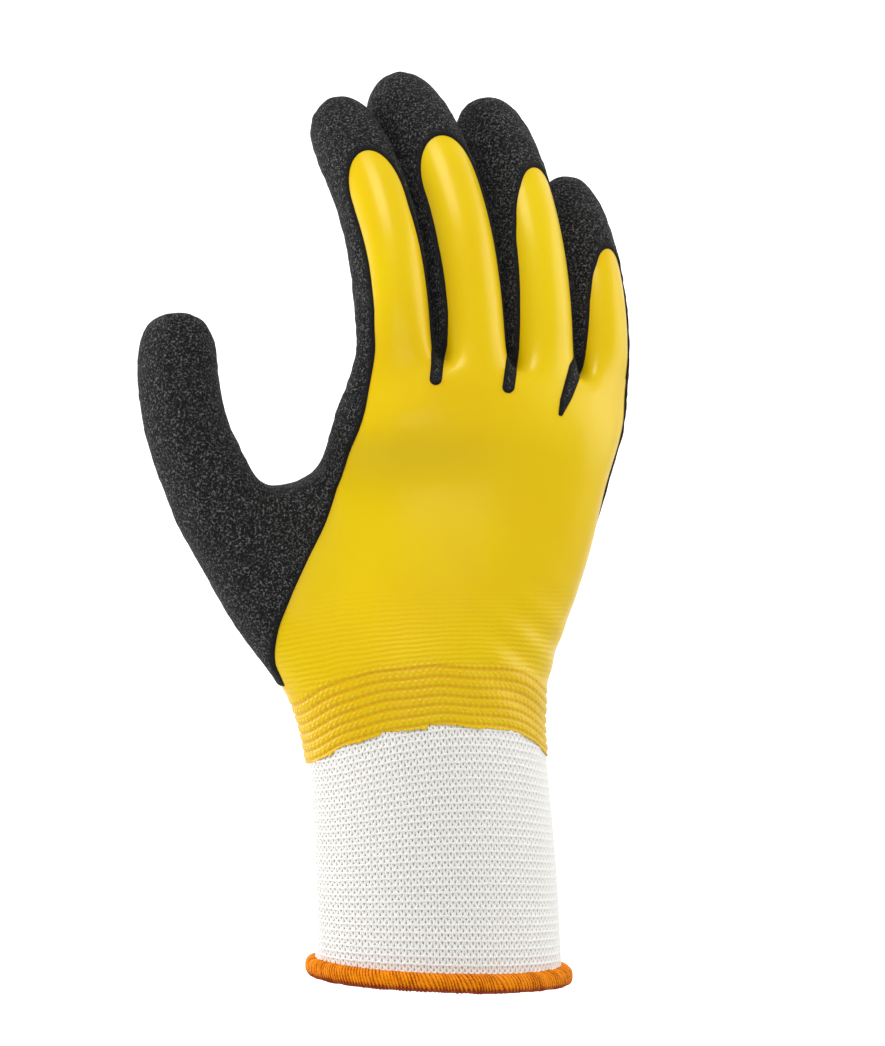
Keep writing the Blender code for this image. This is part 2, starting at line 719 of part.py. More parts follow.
def hem_section():
    """The hem's outline as (outwards, up) from the latex surface: a roll with a slot for the cuff."""
    outer, inner = HEM_OUTER_ROLL, -CUFF_INSET - CUFF_WALL - HEM_INNER_ROLL
    middle, half = (outer + inner) / 2, (outer - inner) / 2
    slot_outer = -CUFF_INSET + SEAT_GAP
    slot_inner = -CUFF_INSET - CUFF_WALL - SEAT_GAP
    slot_floor = HEM_HEIGHT - HEM_BITE - SEAT_GAP
    angles = np.radians(np.array([50, -6, -62, -118, -174, -230]))
    roll = [
        (middle + half * math.cos(a), HEM_HEIGHT / 2 * (1 + math.sin(a))) for a in angles
    ]
    top_outer = (slot_outer, HEM_HEIGHT)
    top_inner = (slot_inner, HEM_HEIGHT)
    return [top_outer, *roll, top_inner, (slot_inner, slot_floor), (slot_outer, slot_floor)]


def cuff_hem():
    """The stitched hem: its section carried round the cuff's lower edge."""
    ring = CUFF_RINGS[0]
    count = 2 * RING_COUNT
    angle = 2 * math.pi * np.arange(count) / count
    half_width, half_depth = ring.width * CUFF_WIDTH / 2, ring.depth * CUFF_DEPTH / 2
    base = np.stack([half_width * np.cos(angle), half_depth * np.sin(angle)], axis=1)
    outwards = np.stack([half_depth * np.cos(angle), half_width * np.sin(angle)], axis=1)
    outwards /= np.linalg.norm(outwards, axis=1)[:, None]
    lift = ring.height * CUFF_LENGTH - (HEM_HEIGHT - HEM_BITE)
    work = bmesh.new()
    loops = []
    for out, up in hem_section():
        flat = base + out * outwards
        loops.append(
            [
                work.verts.new((x + ring.shift * CUFF_WIDTH, y, up + lift - ring.tilt * x))
                for x, y in flat
            ]
        )
    for loop, after in zip(loops, loops[1:] + loops[:1]):
        for i in range(count):
            j = (i + 1) % count
            work.faces.new((loop[i], loop[j], after[j], after[i]))
    bmesh.ops.recalc_face_normals(work, faces=work.faces)
    mesh = bpy.data.meshes.new("cuff_hem")
    work.to_mesh(mesh)
    work.free()
    return finish(mesh_object("cuff_hem", mesh), HEM_COLOUR, 0.8)


for old in list(bpy.data.objects):
    bpy.data.objects.remove(old)
GLOVE = bpy.data.collections.new("coated_work_glove")
bpy.context.scene.collection.children.link(GLOVE)

SURFACE = outer_surface(levels=1)
knit_cuff(SURFACE)
latex_hand(SURFACE)
grip_coat(SURFACE)
cuff_hem()
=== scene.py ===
"""Looks of a latex coated knitted work glove, right hand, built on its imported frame.

One smooth hand form carries every piece. Its lower part, from the hem to the middle of the hand, is
a uniform bicubic B-spline over rings of 22 cage points, so it can be evaluated anywhere. The whole
form, digits included, is the same cage under a Subdivision Surface. On it lie:

- the knitted cuff, each course a closed ring of looped yarn, with the purl side out,
- the wound hem, a roll with a ridge for each turn of thread,
- the yellow latex, ribbed by the knit below it near the wrist, with a ragged dip line,
- the black sandy grip coat, a skin with a rounded edge,
- the knitted lining inside.

Metres, +Z up from the wrist opening, back of the hand towards -Y, thumb towards -X.
"""

import logging
import math
from dataclasses import dataclass, field
from enum import Enum, IntEnum
from typing import NamedTuple, Sequence

import bpy
import numpy as np
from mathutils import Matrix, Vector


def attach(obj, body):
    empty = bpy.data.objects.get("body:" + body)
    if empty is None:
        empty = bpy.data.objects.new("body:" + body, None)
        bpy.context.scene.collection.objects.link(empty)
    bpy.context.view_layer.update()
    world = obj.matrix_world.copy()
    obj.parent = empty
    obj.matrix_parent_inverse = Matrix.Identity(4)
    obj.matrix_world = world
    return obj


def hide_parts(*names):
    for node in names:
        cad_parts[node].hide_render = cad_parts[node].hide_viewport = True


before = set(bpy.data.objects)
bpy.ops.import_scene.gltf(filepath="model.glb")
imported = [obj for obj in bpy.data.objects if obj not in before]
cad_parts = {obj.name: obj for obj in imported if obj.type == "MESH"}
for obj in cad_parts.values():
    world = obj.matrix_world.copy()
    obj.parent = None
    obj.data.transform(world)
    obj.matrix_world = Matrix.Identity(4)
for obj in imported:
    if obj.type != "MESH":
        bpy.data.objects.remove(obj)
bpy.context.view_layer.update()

LOG = logging.getLogger("work_glove")
Array = np.ndarray
MM = 0.001
BODY = "root"
WALE_PITCH = 1.74 * MM  # the knit's stitches, side to side
FLOOR = -0.60  # of the studio's paper


class Slot(Enum):
    """The record's material slots."""

    LATEX = "latex_hand"
    GRIP = "grip_coat"
    KNIT = "knit_cuff"
    HEM = "cuff_hem"


class Mark(IntEnum):
    """Columns of the values that each point of the hand form carries: its row and its digits."""

    ROW = 0
    THUMB = 1
    INDEX = 2
    MIDDLE = 3
    RING = 4
    LITTLE = 5


class WristMark(IntEnum):
    """Columns of the values that each point of the latex wrist carries."""

    ROW = 0
    HEIGHT = 1
    ARC = 2
    # painted shade and highlight of the ribs, over a tone
    GROOVE = 3
    ROWS_SHOWN = 4
    CLEAR = 5  # height over the ragged edge
    BARE = 6


# Shared helpers


def ease(share: Array) -> Array:
    """0 to 1 with no slope at either end: 3s^2 - 2s^3."""
    share = np.clip(share, 0.0, 1.0)
    return share * share * (3 - 2 * share)


def cage_scale(points: int) -> float:
    """How much larger a round loop of cage points is than the circle that it becomes."""
    return 1.0 / (2 / 3 + math.cos(2 * math.pi / points) / 3)


def oval(across: Array, power: float) -> Array:
    """Half-depth of a unit oval at a share across its width: (1 - |2s - 1|^p)^(1/p)."""
    return (1 - np.abs(2 * across - 1) ** power) ** (1 / power)


def even_shares(count: int) -> Array:
    """Shares across a width of so many points, evenly spaced round half an ellipse."""
    angle = np.pi * np.arange(1, count + 1) / (count + 1)
    return (1 - np.cos(angle)) / 2


def unit(vectors: Array) -> Array:
    """Vectors of length one along the last axis."""
    return vectors / np.maximum(np.linalg.norm(vectors, axis=-1, keepdims=True), 1e-12)


def running_length(line: Array) -> Array:
    """The length along a line of points up to each of them."""
    return np.concatenate([[0], np.cumsum(np.linalg.norm(np.diff(line, axis=0), axis=1))])


def lattice_noise(x: Array, y: Array, seed: int, period: int = 64) -> Array:
    """Smooth noise from -1 to 1: random values on a repeating unit lattice, eased between cells.

    Args:
        x: Places along the first axis, in cells.
        y: Places along the second axis, in cells.
        seed: Seed of the random values.
        period: Cells after which the first axis repeats.

    Returns:
        The noise at each place.
    """
    values = np.random.default_rng(seed).uniform(-1, 1, (period, 64))
    column, row = np.floor(x).astype(int), np.floor(y).astype(int)
    right, up = ease(x - column), ease(y - row)
    corners = [
        values[(column + i) % period, (row + j) % 64] for i in (0, 1) for j in (0, 1)
    ]
    low = corners[0] + (corners[2] - corners[0]) * right
    high = corners[1] + (corners[3] - corners[1]) * right
    return low + (high - low) * up


# Meshes made from arrays


@dataclass
class Skin:
    """A triangle mesh as arrays: points, normals, values carried by the points, and triangles."""

    points: Array
    normals: Array
    marks: Array
    faces: Array

    def marked(self, values: Array) -> "Skin":
        """The same skin with one more column of values."""
        return Skin(self.points, self.normals, np.column_stack([self.marks, values]), self.faces)

    def kept(self, keep: Array) -> "Skin":
        """Only the chosen triangles, with the points that they use."""
        faces = self.faces[keep]
        used, numbers = np.unique(faces, return_inverse=True)
        return Skin(
            self.points[used], self.normals[used], self.marks[used], numbers.reshape(-1, 3)
        )

    def split(self, column: int, at: float) -> "Skin":
        """The skin with its triangles cut along the line where a column's value is `at`.

        Each triangle that the line crosses has one corner on one side. The line cuts the two
        sides at that corner, which gives a small triangle there and two triangles beyond it.

        Args:
            column: The column of values.
            at: The value on the line.

        Returns:
            The skin with a point wherever the line crosses an edge.
        """
        level = self.marks[:, column] - at
        level = np.where(np.abs(level) < 1e-9, 1e-9, level)
        above = (level > 0)[self.faces]
        count = above.sum(axis=1)
        crossed = (count == 1) | (count == 2)
        lone = np.where(count == 1, above.argmax(axis=1), (~above).argmax(axis=1))[crossed]
        order = (lone[:, None] + np.arange(3)) % 3
        corner, after, last = np.take_along_axis(self.faces[crossed], order, axis=1).T
        pairs = np.sort(
            np.concatenate([np.stack([corner, after], 1), np.stack([corner, last], 1)]), axis=1
        )
        edges, numbers = np.unique(pairs, axis=0, return_inverse=True)
        a, b = edges.T
        share = (level[a] / (level[a] - level[b]))[:, None]
        new = numbers.reshape(-1) + len(self.points)
        first, second = new[: len(corner)], new[len(corner) :]
        faces = [
            self.faces[~crossed],
            np.stack([corner, first, second], 1),
            np.stack([first, after, last], 1),
            np.stack([first, last, second], 1),
        ]
        mixed = [v[a] + (v[b] - v[a]) * share for v in (self.points, self.normals, self.marks)]
        return Skin(
            np.concatenate([self.points, mixed[0]]),
            np.concatenate([self.normals, unit(mixed[1])]),
            np.concatenate([self.marks, mixed[2]]),
            np.concatenate(faces),
        )

    def side_of(self, column: int, at: float) -> Array:
        """Which triangles have their middle above a column's value."""
        return self.marks[self.faces, column].mean(axis=1) > at


def grid_faces(rows: int, columns: int, closed: bool) -> Array:
    """Four-sided faces of a grid whose points run row by row.

    Args:
        rows: Points along the first axis.
        columns: Points along the second axis.
        closed: Whether the last column joins the first.

    Returns:
        Point numbers, one row for each face.
    """
    number = np.arange(rows * columns).reshape(rows, columns)
    if closed:
        number = np.concatenate([number, number[:, :1]], axis=1)
    low, high = number[:-1], number[1:]
    corners = [low[:, :-1], low[:, 1:], high[:, 1:], high[:, :-1]]
    return np.stack([c.ravel() for c in corners], axis=1)


def in_triangles(quads: Array) -> Array:
    """Each four-sided face as two triangles."""
    return np.concatenate([quads[:, [0, 1, 2]], quads[:, [0, 2, 3]]])


def mesh_object(
    name: str,
    points: Array,
    faces: Array,
    uv: Array | None = None,
    values: dict[str, Array] | None = None,
    normals: Array | None = None,
) -> bpy.types.Object:
    """A smooth-shaded object at the origin from arrays.

    Args:
        name: The object's name.
        points: Its points, one row each, in metres.
        faces: Point numbers, three or four to a face.
        uv: A place on the UV map for each point.
        values: Named values of each point, for its material.
        normals: Shading normals of the points, where the mesh's own don't do.

    Returns:
        The linked object.
    """
    mesh = bpy.data.meshes.new(name)
    mesh.vertices.add(len(points))
    mesh.vertices.foreach_set("co", points.astype(np.float32).ravel())
    mesh.loops.add(faces.size)
    mesh.loops.foreach_set("vertex_index", faces.astype(np.int32).ravel())
    mesh.polygons.add(len(faces))
    starts = np.arange(0, faces.size, faces.shape[1], dtype=np.int32)
    mesh.polygons.foreach_set("loop_start", starts)
    mesh.update(calc_edges=True)
    mesh.shade_smooth()
    if uv is not None:
        layer = mesh.uv_layers.new(name="along_surface")
        layer.uv.foreach_set("vector", uv[faces.ravel()].astype(np.float32).ravel())
    for label, column in (values or {}).items():
        attribute = mesh.attributes.new(label, "FLOAT", "POINT")
        attribute.data.foreach_set("value", column.astype(np.float32))
    if normals is not None:
        mesh.normals_split_custom_set_from_vertices(normals.astype(float).tolist())
    made = bpy.data.objects.new(name, mesh)
    bpy.context.scene.collection.objects.link(made)
    return made


def dress(
    made: bpy.types.Object, material: bpy.types.Material, nodes: Sequence[str]
) -> bpy.types.Object:
    """Gives a piece its material and body, and hides the CAD nodes that it stands for.

    Args:
        made: The piece.
        material: Its finish.
        nodes: The CAD nodes that it replaces.

    Returns:
        The piece.
    """
    made.data.materials.append(material)
    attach(made, BODY)
    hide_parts(*nodes)
    LOG.info("%s: %d faces", made.name, len(made.data.polygons))
    return made


# The hand form


class CuffRing(NamedTuple):
    """A ring of the cuff: height of its length, shift and width of its width, tilt a slope."""

    height: float
    shift: float
    width: float
    depth: float
    arch: float
    tilt: float


class HandRing(NamedTuple):
    """A ring of the hand: x of the palm's width, y of its depth, z of its length."""

    left_x: float
    left_y: float
    left_z: float
    right_x: float
    right_y: float
    right_z: float
    depth: float
    arch: float
    split: float


class Finger(NamedTuple):
    """A finger: where it stands on its ring, its size, and how it bends."""

    centre: float
    width: float
    reach: float
    splay_root: float
    splay_tip: float
    curl_root: float
    curl_tip: float
    swell: float


class Digit(NamedTuple):
    """A digit's own sizes, in metres and degrees."""

    length: float
    width: float
    splay_root: float
    splay_tip: float
    curl_root: float
    curl_tip: float
    swell: float
    flare: float


class Line(NamedTuple):
    """A digit's centre line: shares, points, and its long, side and palm-side axes."""

    share: Array
    points: Array
    along: Array
    side: Array
    palm: Array


CUFF_RINGS = (
    CuffRing(height=0.045, shift=0.000, width=1.005, depth=1.00, arch=0.00, tilt=0.080),
    CuffRing(height=0.560, shift=-0.020, width=1.000, depth=0.98, arch=0.04, tilt=0.035),
)
HAND_RINGS = (
    HandRing(-0.460, 0.00, 0.000, 0.368, 0.00, 0.000, 1.38, 0.085, 0.00),
    HandRing(-0.514, 0.06, 0.155, 0.372, 0.00, 0.165, 1.36, 0.07, 0.00),
    HandRing(-0.603, 0.19, 0.250, 0.427, 0.00, 0.280, 1.30, 0.04, 0.15),
    HandRing(-0.698, 0.31, 0.353, 0.492, 0.00, 0.398, 1.24, 0.02, 0.45),
    HandRing(-0.781, 0.42, 0.480, 0.553, 0.00, 0.532, 1.16, 0.01, 0.75),
    HandRing(-0.876, 0.50, 0.597, 0.602, 0.00, 0.690, 1.06, 0.00, 1.00),
)
# Above the thumb, where split is how far the ring's points have gathered to the fingers
PALM_RINGS = (
    HandRing(-0.390, 0.00, 0.840, 0.680, 0.08, 0.806, 0.98, 0.01, 0.35),
    HandRing(-0.330, 0.00, 0.930, 0.712, 0.18, 0.868, 0.90, 0.02, 0.70),
    HandRing(-0.294, 0.00, 1.010, 0.739, 0.30, 0.920, 0.78, 0.04, 1.00),
)
FINGERS = (
    Finger(0.134, 1.02, 0.875, 2.0, -9.5, 7.6, 49.9, 0.00),
    Finger(0.395, 1.06, 0.988, 0.5, -10.8, 7.5, 50.3, 0.13),
    Finger(0.650, 1.05, 0.920, 2.0, -5.5, 7.5, 47.4, 0.05),
    Finger(0.887, 0.85, 0.680, 4.4, -5.0, 9.0, 46.7, 0.08),
)


class Cage:
    """Points and four-sided faces of the coarse shape, with the values that each point carries."""

    def __init__(self) -> None:
        self.points: list[Array] = []
        self.marks: list[Array] = []
        self.faces: list[Array] = []
        self.count = 0

    def add(self, points: Array, marks: Array) -> Array:
        """Adds points that all carry the same values, and returns their numbers."""
        first = self.count
        self.count += len(points)
        self.points.append(points)
        self.marks.append(np.broadcast_to(marks, (len(points), len(Mark))).copy())
        return np.arange(first, self.count)

    def bridge(self, lower: Array, upper: Array) -> None:
        """Joins two closed rings of as many points with a band of faces."""
        band = [lower, np.roll(lower, -1), np.roll(upper, -1), upper]
        self.faces.append(np.stack(band, axis=1))

    def place_of(self, numbers: Array) -> Array:
        """The points with these numbers."""
        return np.concatenate(self.points)[numbers]

    def mark(self, numbers: Array, column: int) -> None:
        """Sets a column to 1 at these points."""
        marks = np.concatenate(self.marks)
        marks[numbers, column] = 1.0
        self.marks = [marks]


@dataclass
class HandForm:
    """The glove's outer form: cuff, hand and digits of one smooth surface.

    Its rings and digits hold shares of the lengths below.
    """

    cuff_length: float = 64 * MM
    cuff_width: float = 70.4 * MM
    cuff_depth: float = 45 * MM
    palm_length: float = 103 * MM
    palm_width: float = 81 * MM
    palm_depth: float = 32 * MM
    finger_length: float = 88 * MM
    finger_width: float = 19.2 * MM
    thumb_web_width: float = 10 * MM
    thumb_web_rise: float = 8.5 * MM
    finger_web_slope: float = 6 * MM
    thumb: Digit = Digit(53 * MM, 20.5 * MM, -29.0, 11.0, 11.0, 18.5, 0.0, 0.16)
    ring_points: int = 22
    digit_points: int = 6
    palm_power: float = 2.4
    web_share: float = 0.295
    thumb_root_depth: float = 0.86
    digit_row: float = 20.0  # well above the palm's rows
    line_samples: int = 61
    digit_loops: tuple[tuple[float, float], ...] = (
        (0.13, 1.00),
        (0.38, 1.00),
        (0.63, 1.00),
        (0.89, 1.01),
        (1.035, 0.68),
    )
    surfaces: dict[int, Skin] = field(default_factory=dict)

    @property
    def root_width(self) -> float:
        """Width of the ring that carries the fingers."""
        return (PALM_RINGS[-1].right_x - PALM_RINGS[-1].left_x) * self.palm_width

    def cuff_ring(self, ring: CuffRing) -> Array:
        """A ring of the cuff, an ellipse that arches up on the back.

        Args:
            ring: Its row of shares.

        Returns:
            Left end, ten points on the back, right end and ten on the palm side.
        """
        angle = math.pi + 2 * math.pi * np.arange(self.ring_points) / self.ring_points
        scale = cage_scale(self.ring_points)
        x = ring.shift * self.cuff_width + scale * ring.width * self.cuff_width / 2 * np.cos(angle)
        y = scale * ring.depth * self.cuff_depth / 2 * np.sin(angle)
        z = ring.height * self.cuff_length - ring.tilt * x
        z = z + ring.arch * self.palm_length * np.clip(-np.sin(angle), 0, 1) ** 2
        return np.stack([x, y, z], axis=1)

    def place(self, ring: HandRing, across: Array, back: Array) -> Array:
        """Points of a ring, straight from its left end to its right and bowed above the thumb.

        Args:
            ring: Its row of shares.
            across: Shares from the left end to the right.
            back: -1 on the back of the hand, 1 on the palm side, of the ring's half-depth.

        Returns:
            The points.
        """
        bow = 2 if ring in PALM_RINGS else 1
        x = (ring.left_x + (ring.right_x - ring.left_x) * across) * self.palm_width
        y = (ring.left_y + (ring.right_y - ring.left_y) * across**bow) * self.palm_depth
        rise = ring.left_z + (ring.right_z - ring.left_z) * across
        z = self.cuff_length + rise * self.palm_length
        y = y + back * ring.depth * self.palm_depth / 2
        z = z + ring.arch * self.palm_length * np.clip(-back, 0, 1) ** 2
        return np.stack([x, y, z], axis=1)

    def ring_of(self, ring: HandRing, across: Array, depth: Array, ends: Array) -> Array:
        """A closed ring with the same points on the back and on the palm side.

        Args:
            ring: Its row of shares.
            across: Shares of the points between the ends.
            depth: Their half-depths, of the ring's.
            ends: Shares of the two ends.

        Returns:
            Left end, back, right end, palm side from right to left.
        """
        left, right = self.place(ring, ends, np.zeros(2))
        back = self.place(ring, across, -depth)
        palm = self.place(ring, across, depth)
        return np.concatenate([[left], back, [right], palm[::-1]])

    def whole_ring(self, ring: HandRing) -> Array:
        """One ellipse round thumb and palm together."""
        across = even_shares(10)
        scale = cage_scale(self.ring_points)
        ends = np.array([0.5 - 0.5 * scale, 0.5 + 0.5 * scale])
        return self.ring_of(ring, 0.5 + (across - 0.5) * scale, scale * oval(across, 2), ends)

    def split_ring(self, ring: HandRing) -> Array:
        """A thumb and a palm side by side, whose web stands higher than both ends.

        Args:
            ring: Its row of shares.

        Returns:
            The ring's 22 points, the first and last three of them round the thumb.
        """
        web = self.web_share
        half_web = self.thumb_web_width / 2 / ((ring.right_x - ring.left_x) * self.palm_width)
        thumb_width, palm_left = web - half_web, web + half_web
        palm_shares = palm_left + (1 - palm_left) * even_shares(8)
        across = np.concatenate([thumb_width * np.array([0.22, 0.78]), palm_shares])
        thumb_depth = 0.92 * self.thumb_root_depth / ring.depth * np.ones(2)
        depth = np.concatenate([thumb_depth, oval(even_shares(8), self.palm_power)])
        made = self.ring_of(ring, across, depth, np.array([0.0, 1.0]))
        shares = np.concatenate([[0.0], across, [1.0], across[::-1]])
        rise = np.where(shares < web, shares / web, 1 - (shares - web) / (1 - web))
        made[:, 2] += self.thumb_web_rise * ease(rise)
        return made

    def hand_ring(self, ring: HandRing) -> Array:
        """A ring between the wrist and the thumb's web."""
        return (1 - ring.split) * self.whole_ring(ring) + ring.split * self.split_ring(ring)

    def palm_ring(self, ring: HandRing) -> Array:
        """A ring of the palm above the thumb, its points gathered towards the fingers.

        Args:
            ring: Its row of shares, whose split says how far they have gathered.

        Returns:
            Left end, eight points on the back, right end, eight on the palm side.
        """
        half = 0.40 * self.finger_width / self.root_width
        fingers = [f.centre + side * half * f.width for f in FINGERS for side in (-1, 1)]
        across = (1 - ring.split) * even_shares(8) + ring.split * np.array(fingers)
        made = self.ring_of(ring, across, oval(across, self.palm_power), np.array([0.0, 1.0]))
        made[10:, 2] += ring.split * self.finger_web_slope
        made[[0, 9], 2] += ring.split * self.finger_web_slope / 2
        return made

    def finger_sides(self, ring: Array) -> list[Array]:
        """The side points of each finger's root loop.

        Args:
            ring: The palm's last ring, whose ends are the outer fingers' outer sides.

        Returns:
            A pair of points for each finger, left and right.
        """
        half = 0.5 * self.finger_width / self.root_width
        pairs = []
        for finger in FINGERS:
            across = finger.centre + half * finger.width * np.array([-1, 1])
            sides = self.place(PALM_RINGS[-1], across, np.zeros(2))
            sides[:, 2] += self.finger_web_slope / 2
            pairs.append(sides)
        pairs[0][0] = ring[0]
        pairs[-1][1] = ring[9]
        return pairs

    def digit_of(self, finger: Finger) -> Digit:
        """A finger's own sizes from its row."""
        length, width = self.finger_length * finger.reach, self.finger_width * finger.width
        return Digit(length, width, *finger[3:], 0.0)

    def centre_line(self, digit: Digit, root: Array) -> Line:
        """A digit's bent centre line, whose angles change smoothly from root to tip.

        The points are the running sum of steps along the direction at each share.

        Args:
            digit: Its sizes and angles.
            root: The middle of its root loop.

        Returns:
            The line, with its axes at each point.
        """
        share = np.linspace(0, 1, self.line_samples)
        bend = ease(share)
        splay = np.radians(digit.splay_root + (digit.splay_tip - digit.splay_root) * bend)
        curl = np.radians(digit.curl_root + (digit.curl_tip - digit.curl_root) * bend)
        along = np.stack(
            [np.sin(splay) * np.cos(curl), np.sin(curl), np.cos(splay) * np.cos(curl)], axis=1
        )
        side = np.stack([np.cos(splay), np.zeros_like(splay), -np.sin(splay)], axis=1)
        steps = (along[1:] + along[:-1]) / 2 * digit.length / (self.line_samples - 1)
        points = root + np.concatenate([np.zeros((1, 3)), np.cumsum(steps, axis=0)])
        return Line(share, points, along, side, np.cross(along, side))

    def digit_loop(self, digit: Digit, line: Line, reach: float, girth: float) -> Array:
        """One loop of cage points round a digit, square to its line.

        Args:
            digit: Its sizes.
            line: Its centre line.
            reach: The loop's place as a share of the length, over 1 beyond the line's end.
            girth: The loop's size as a share of the digit's width.

        Returns:
            The loop's points, from the thumb's side over the back.
        """
        angle = math.pi + 2 * math.pi * np.arange(self.digit_points) / self.digit_points
        share = min(reach, 1.0)
        centre, outwards, across, down = (
            np.array([np.interp(share, line.share, axis) for axis in values.T])
            for values in (line.points, line.along, line.side, line.palm)
        )
        centre = centre + outwards * (reach - share) * digit.length
        radius = cage_scale(self.digit_points) * digit.width / 2
        radius *= girth * (1 + digit.flare * (1 - share) ** 2 + digit.swell * share**2)
        return centre + radius * (np.outer(np.cos(angle), across) + np.outer(np.sin(angle), down))

    def add_digit(self, cage: Cage, digit: Digit, root: Array, column: Mark) -> None:
        """Carries a digit's loops from its root loop and closes the tip.

        Args:
            cage: The cage that gets them.
            digit: Its sizes.
            root: Numbers of its root loop's points.
            column: The digit's own column of values.
        """
        cage.mark(root, column)
        line = self.centre_line(digit, cage.place_of(root).mean(axis=0))
        marks = self.row_marks(self.digit_row)
        marks[column] = 1.0
        below = root
        for reach, girth in self.digit_loops:
            above = cage.add(self.digit_loop(digit, line, reach, girth), marks)
            cage.bridge(below, above)
            below = above
        cage.faces.append(below[[[0, 1, 2, 3], [0, 3, 4, 5]]])

    def row_marks(self, row: float) -> Array:
        """The values of a point on a row and on no digit."""
        marks = np.zeros(len(Mark))
        marks[Mark.ROW] = row
        return marks

    def trunk_rings(self) -> list[Array]:
        """The rings from the hem to the thumb's web, each with 22 points."""
        return [self.cuff_ring(r) for r in CUFF_RINGS] + [self.hand_ring(r) for r in HAND_RINGS]

    def cage(self) -> Cage:
        """The coarse shape of the whole glove, open at the wrist."""
        cage = Cage()
        rings = self.trunk_rings()
        numbers = [
            cage.add(points, self.row_marks(row))
            for row, points in enumerate(rings, start=-len(CUFF_RINGS))
        ]
        for lower, upper in zip(numbers, numbers[1:]):
            cage.bridge(lower, upper)
        split, last = numbers[-1], rings[-1]
        web = np.array([(last[2] + last[-2]) / 2, (last[3] + last[-3]) / 2])
        thumb_side, palm_side = cage.add(web, self.row_marks(len(HAND_RINGS) - 1))
        cage.faces.append(
            np.array(
                [
                    [split[2], split[3], palm_side, thumb_side],
                    [thumb_side, palm_side, split[-3], split[-2]],
                ]
            )
        )
        thumb_root = np.array([*split[:3], thumb_side, *split[-2:]])
        self.add_digit(cage, self.thumb, thumb_root, Mark.THUMB)
        lower = np.array([palm_side, *split[3:-2]])
        for row, ring in enumerate(PALM_RINGS, start=len(HAND_RINGS)):
            points = self.palm_ring(ring)
            upper = cage.add(points, self.row_marks(row))
            cage.bridge(lower, upper)
            lower = upper
        self.add_fingers(cage, lower, points)
        return cage

    def add_fingers(self, cage: Cage, ring: Array, points: Array) -> None:
        """Adds the four fingers on the last ring of the palm, with the webs between them.

        Args:
            cage: The cage that gets them.
            ring: Numbers of the ring's points.
            points: Their places.
        """
        sides = self.finger_sides(points)
        marks = self.row_marks(len(HAND_RINGS) + len(PALM_RINGS) - 1)
        left = ring[0]
        for number, finger in enumerate(FINGERS):
            back = ring[[1 + 2 * number, 2 + 2 * number]]
            palm = ring[[-2 - 2 * number, -1 - 2 * number]]
            last = number == len(FINGERS) - 1
            right = ring[9] if last else cage.add(sides[number][1:], marks)[0]
            root = np.array([left, *back, right, *palm])
            self.add_digit(cage, self.digit_of(finger), root, Mark.INDEX + number)
            if not last:
                left = cage.add(sides[number + 1][:1], marks)[0]
                cage.faces.append(
                    np.array(
                        [
                            [back[1], ring[3 + 2 * number], left, right],
                            [right, left, ring[-3 - 2 * number], palm[0]],
                        ]
                    )
                )

    def surface(self, levels: int) -> Skin:
        """The whole form at a number of subdivisions, as triangles.

        Args:
            levels: Subdivision levels. Each makes four faces of one.

        Returns:
            The skin, kept for the next call.
        """
        if levels in self.surfaces:
            return self.surfaces[levels]
        cage = self.cage()
        marks = np.concatenate(cage.marks)
        made = mesh_object(
            "hand_form",
            np.concatenate(cage.points),
            np.concatenate(cage.faces),
            values={mark.name.lower(): marks[:, mark] for mark in Mark},
        )
        made.modifiers.new("Smooth", "SUBSURF").levels = levels
        graph = bpy.context.evaluated_depsgraph_get()
        mesh = bpy.data.meshes.new_from_object(made.evaluated_get(graph))
        count = len(mesh.vertices)
        points, normals = np.empty((2, count, 3), np.float32)
        values = np.empty((len(Mark), count), np.float32)
        corners = np.empty(len(mesh.loops), np.int32)
        mesh.vertices.foreach_get("co", points.reshape(-1))
        mesh.vertices.foreach_get("normal", normals.reshape(-1))
        mesh.loops.foreach_get("vertex_index", corners)
        for mark in Mark:
            mesh.attributes[mark.name.lower()].data.foreach_get("value", values[mark])
        faces = in_triangles(corners.reshape(-1, 4))
        bpy.data.objects.remove(made)
        bpy.data.meshes.remove(mesh)
        skin = Skin(points.astype(float), normals.astype(float), values.T.astype(float), faces)
        self.surfaces[levels] = skin
        return skin

    def digits(self) -> list[tuple[Mark, Digit, Line]]:
        """Each digit's column, sizes and centre line, thumb first."""
        cage_points = self.hand_ring(HAND_RINGS[-1])
        root = cage_points[[0, 1, 2, -2, -1]].mean(axis=0)
        made = [(Mark.THUMB, self.thumb, self.centre_line(self.thumb, root))]
        ring = self.palm_ring(PALM_RINGS[-1])
        for number, (finger, sides) in enumerate(zip(FINGERS, self.finger_sides(ring))):
            others = ring[[1 + 2 * number, 2 + 2 * number, -1 - 2 * number, -2 - 2 * number]]
            root = np.concatenate([sides, others]).mean(axis=0)
            digit = self.digit_of(finger)
            made.append((Mark(Mark.INDEX + number), digit, self.centre_line(digit, root)))
        return made

    def webs(self) -> list[Array]:
        """The middle of each web between two fingers."""
        sides = self.finger_sides(self.palm_ring(PALM_RINGS[-1]))
        return [(a[1] + b[0]) / 2 for a, b in zip(sides, sides[1:])]


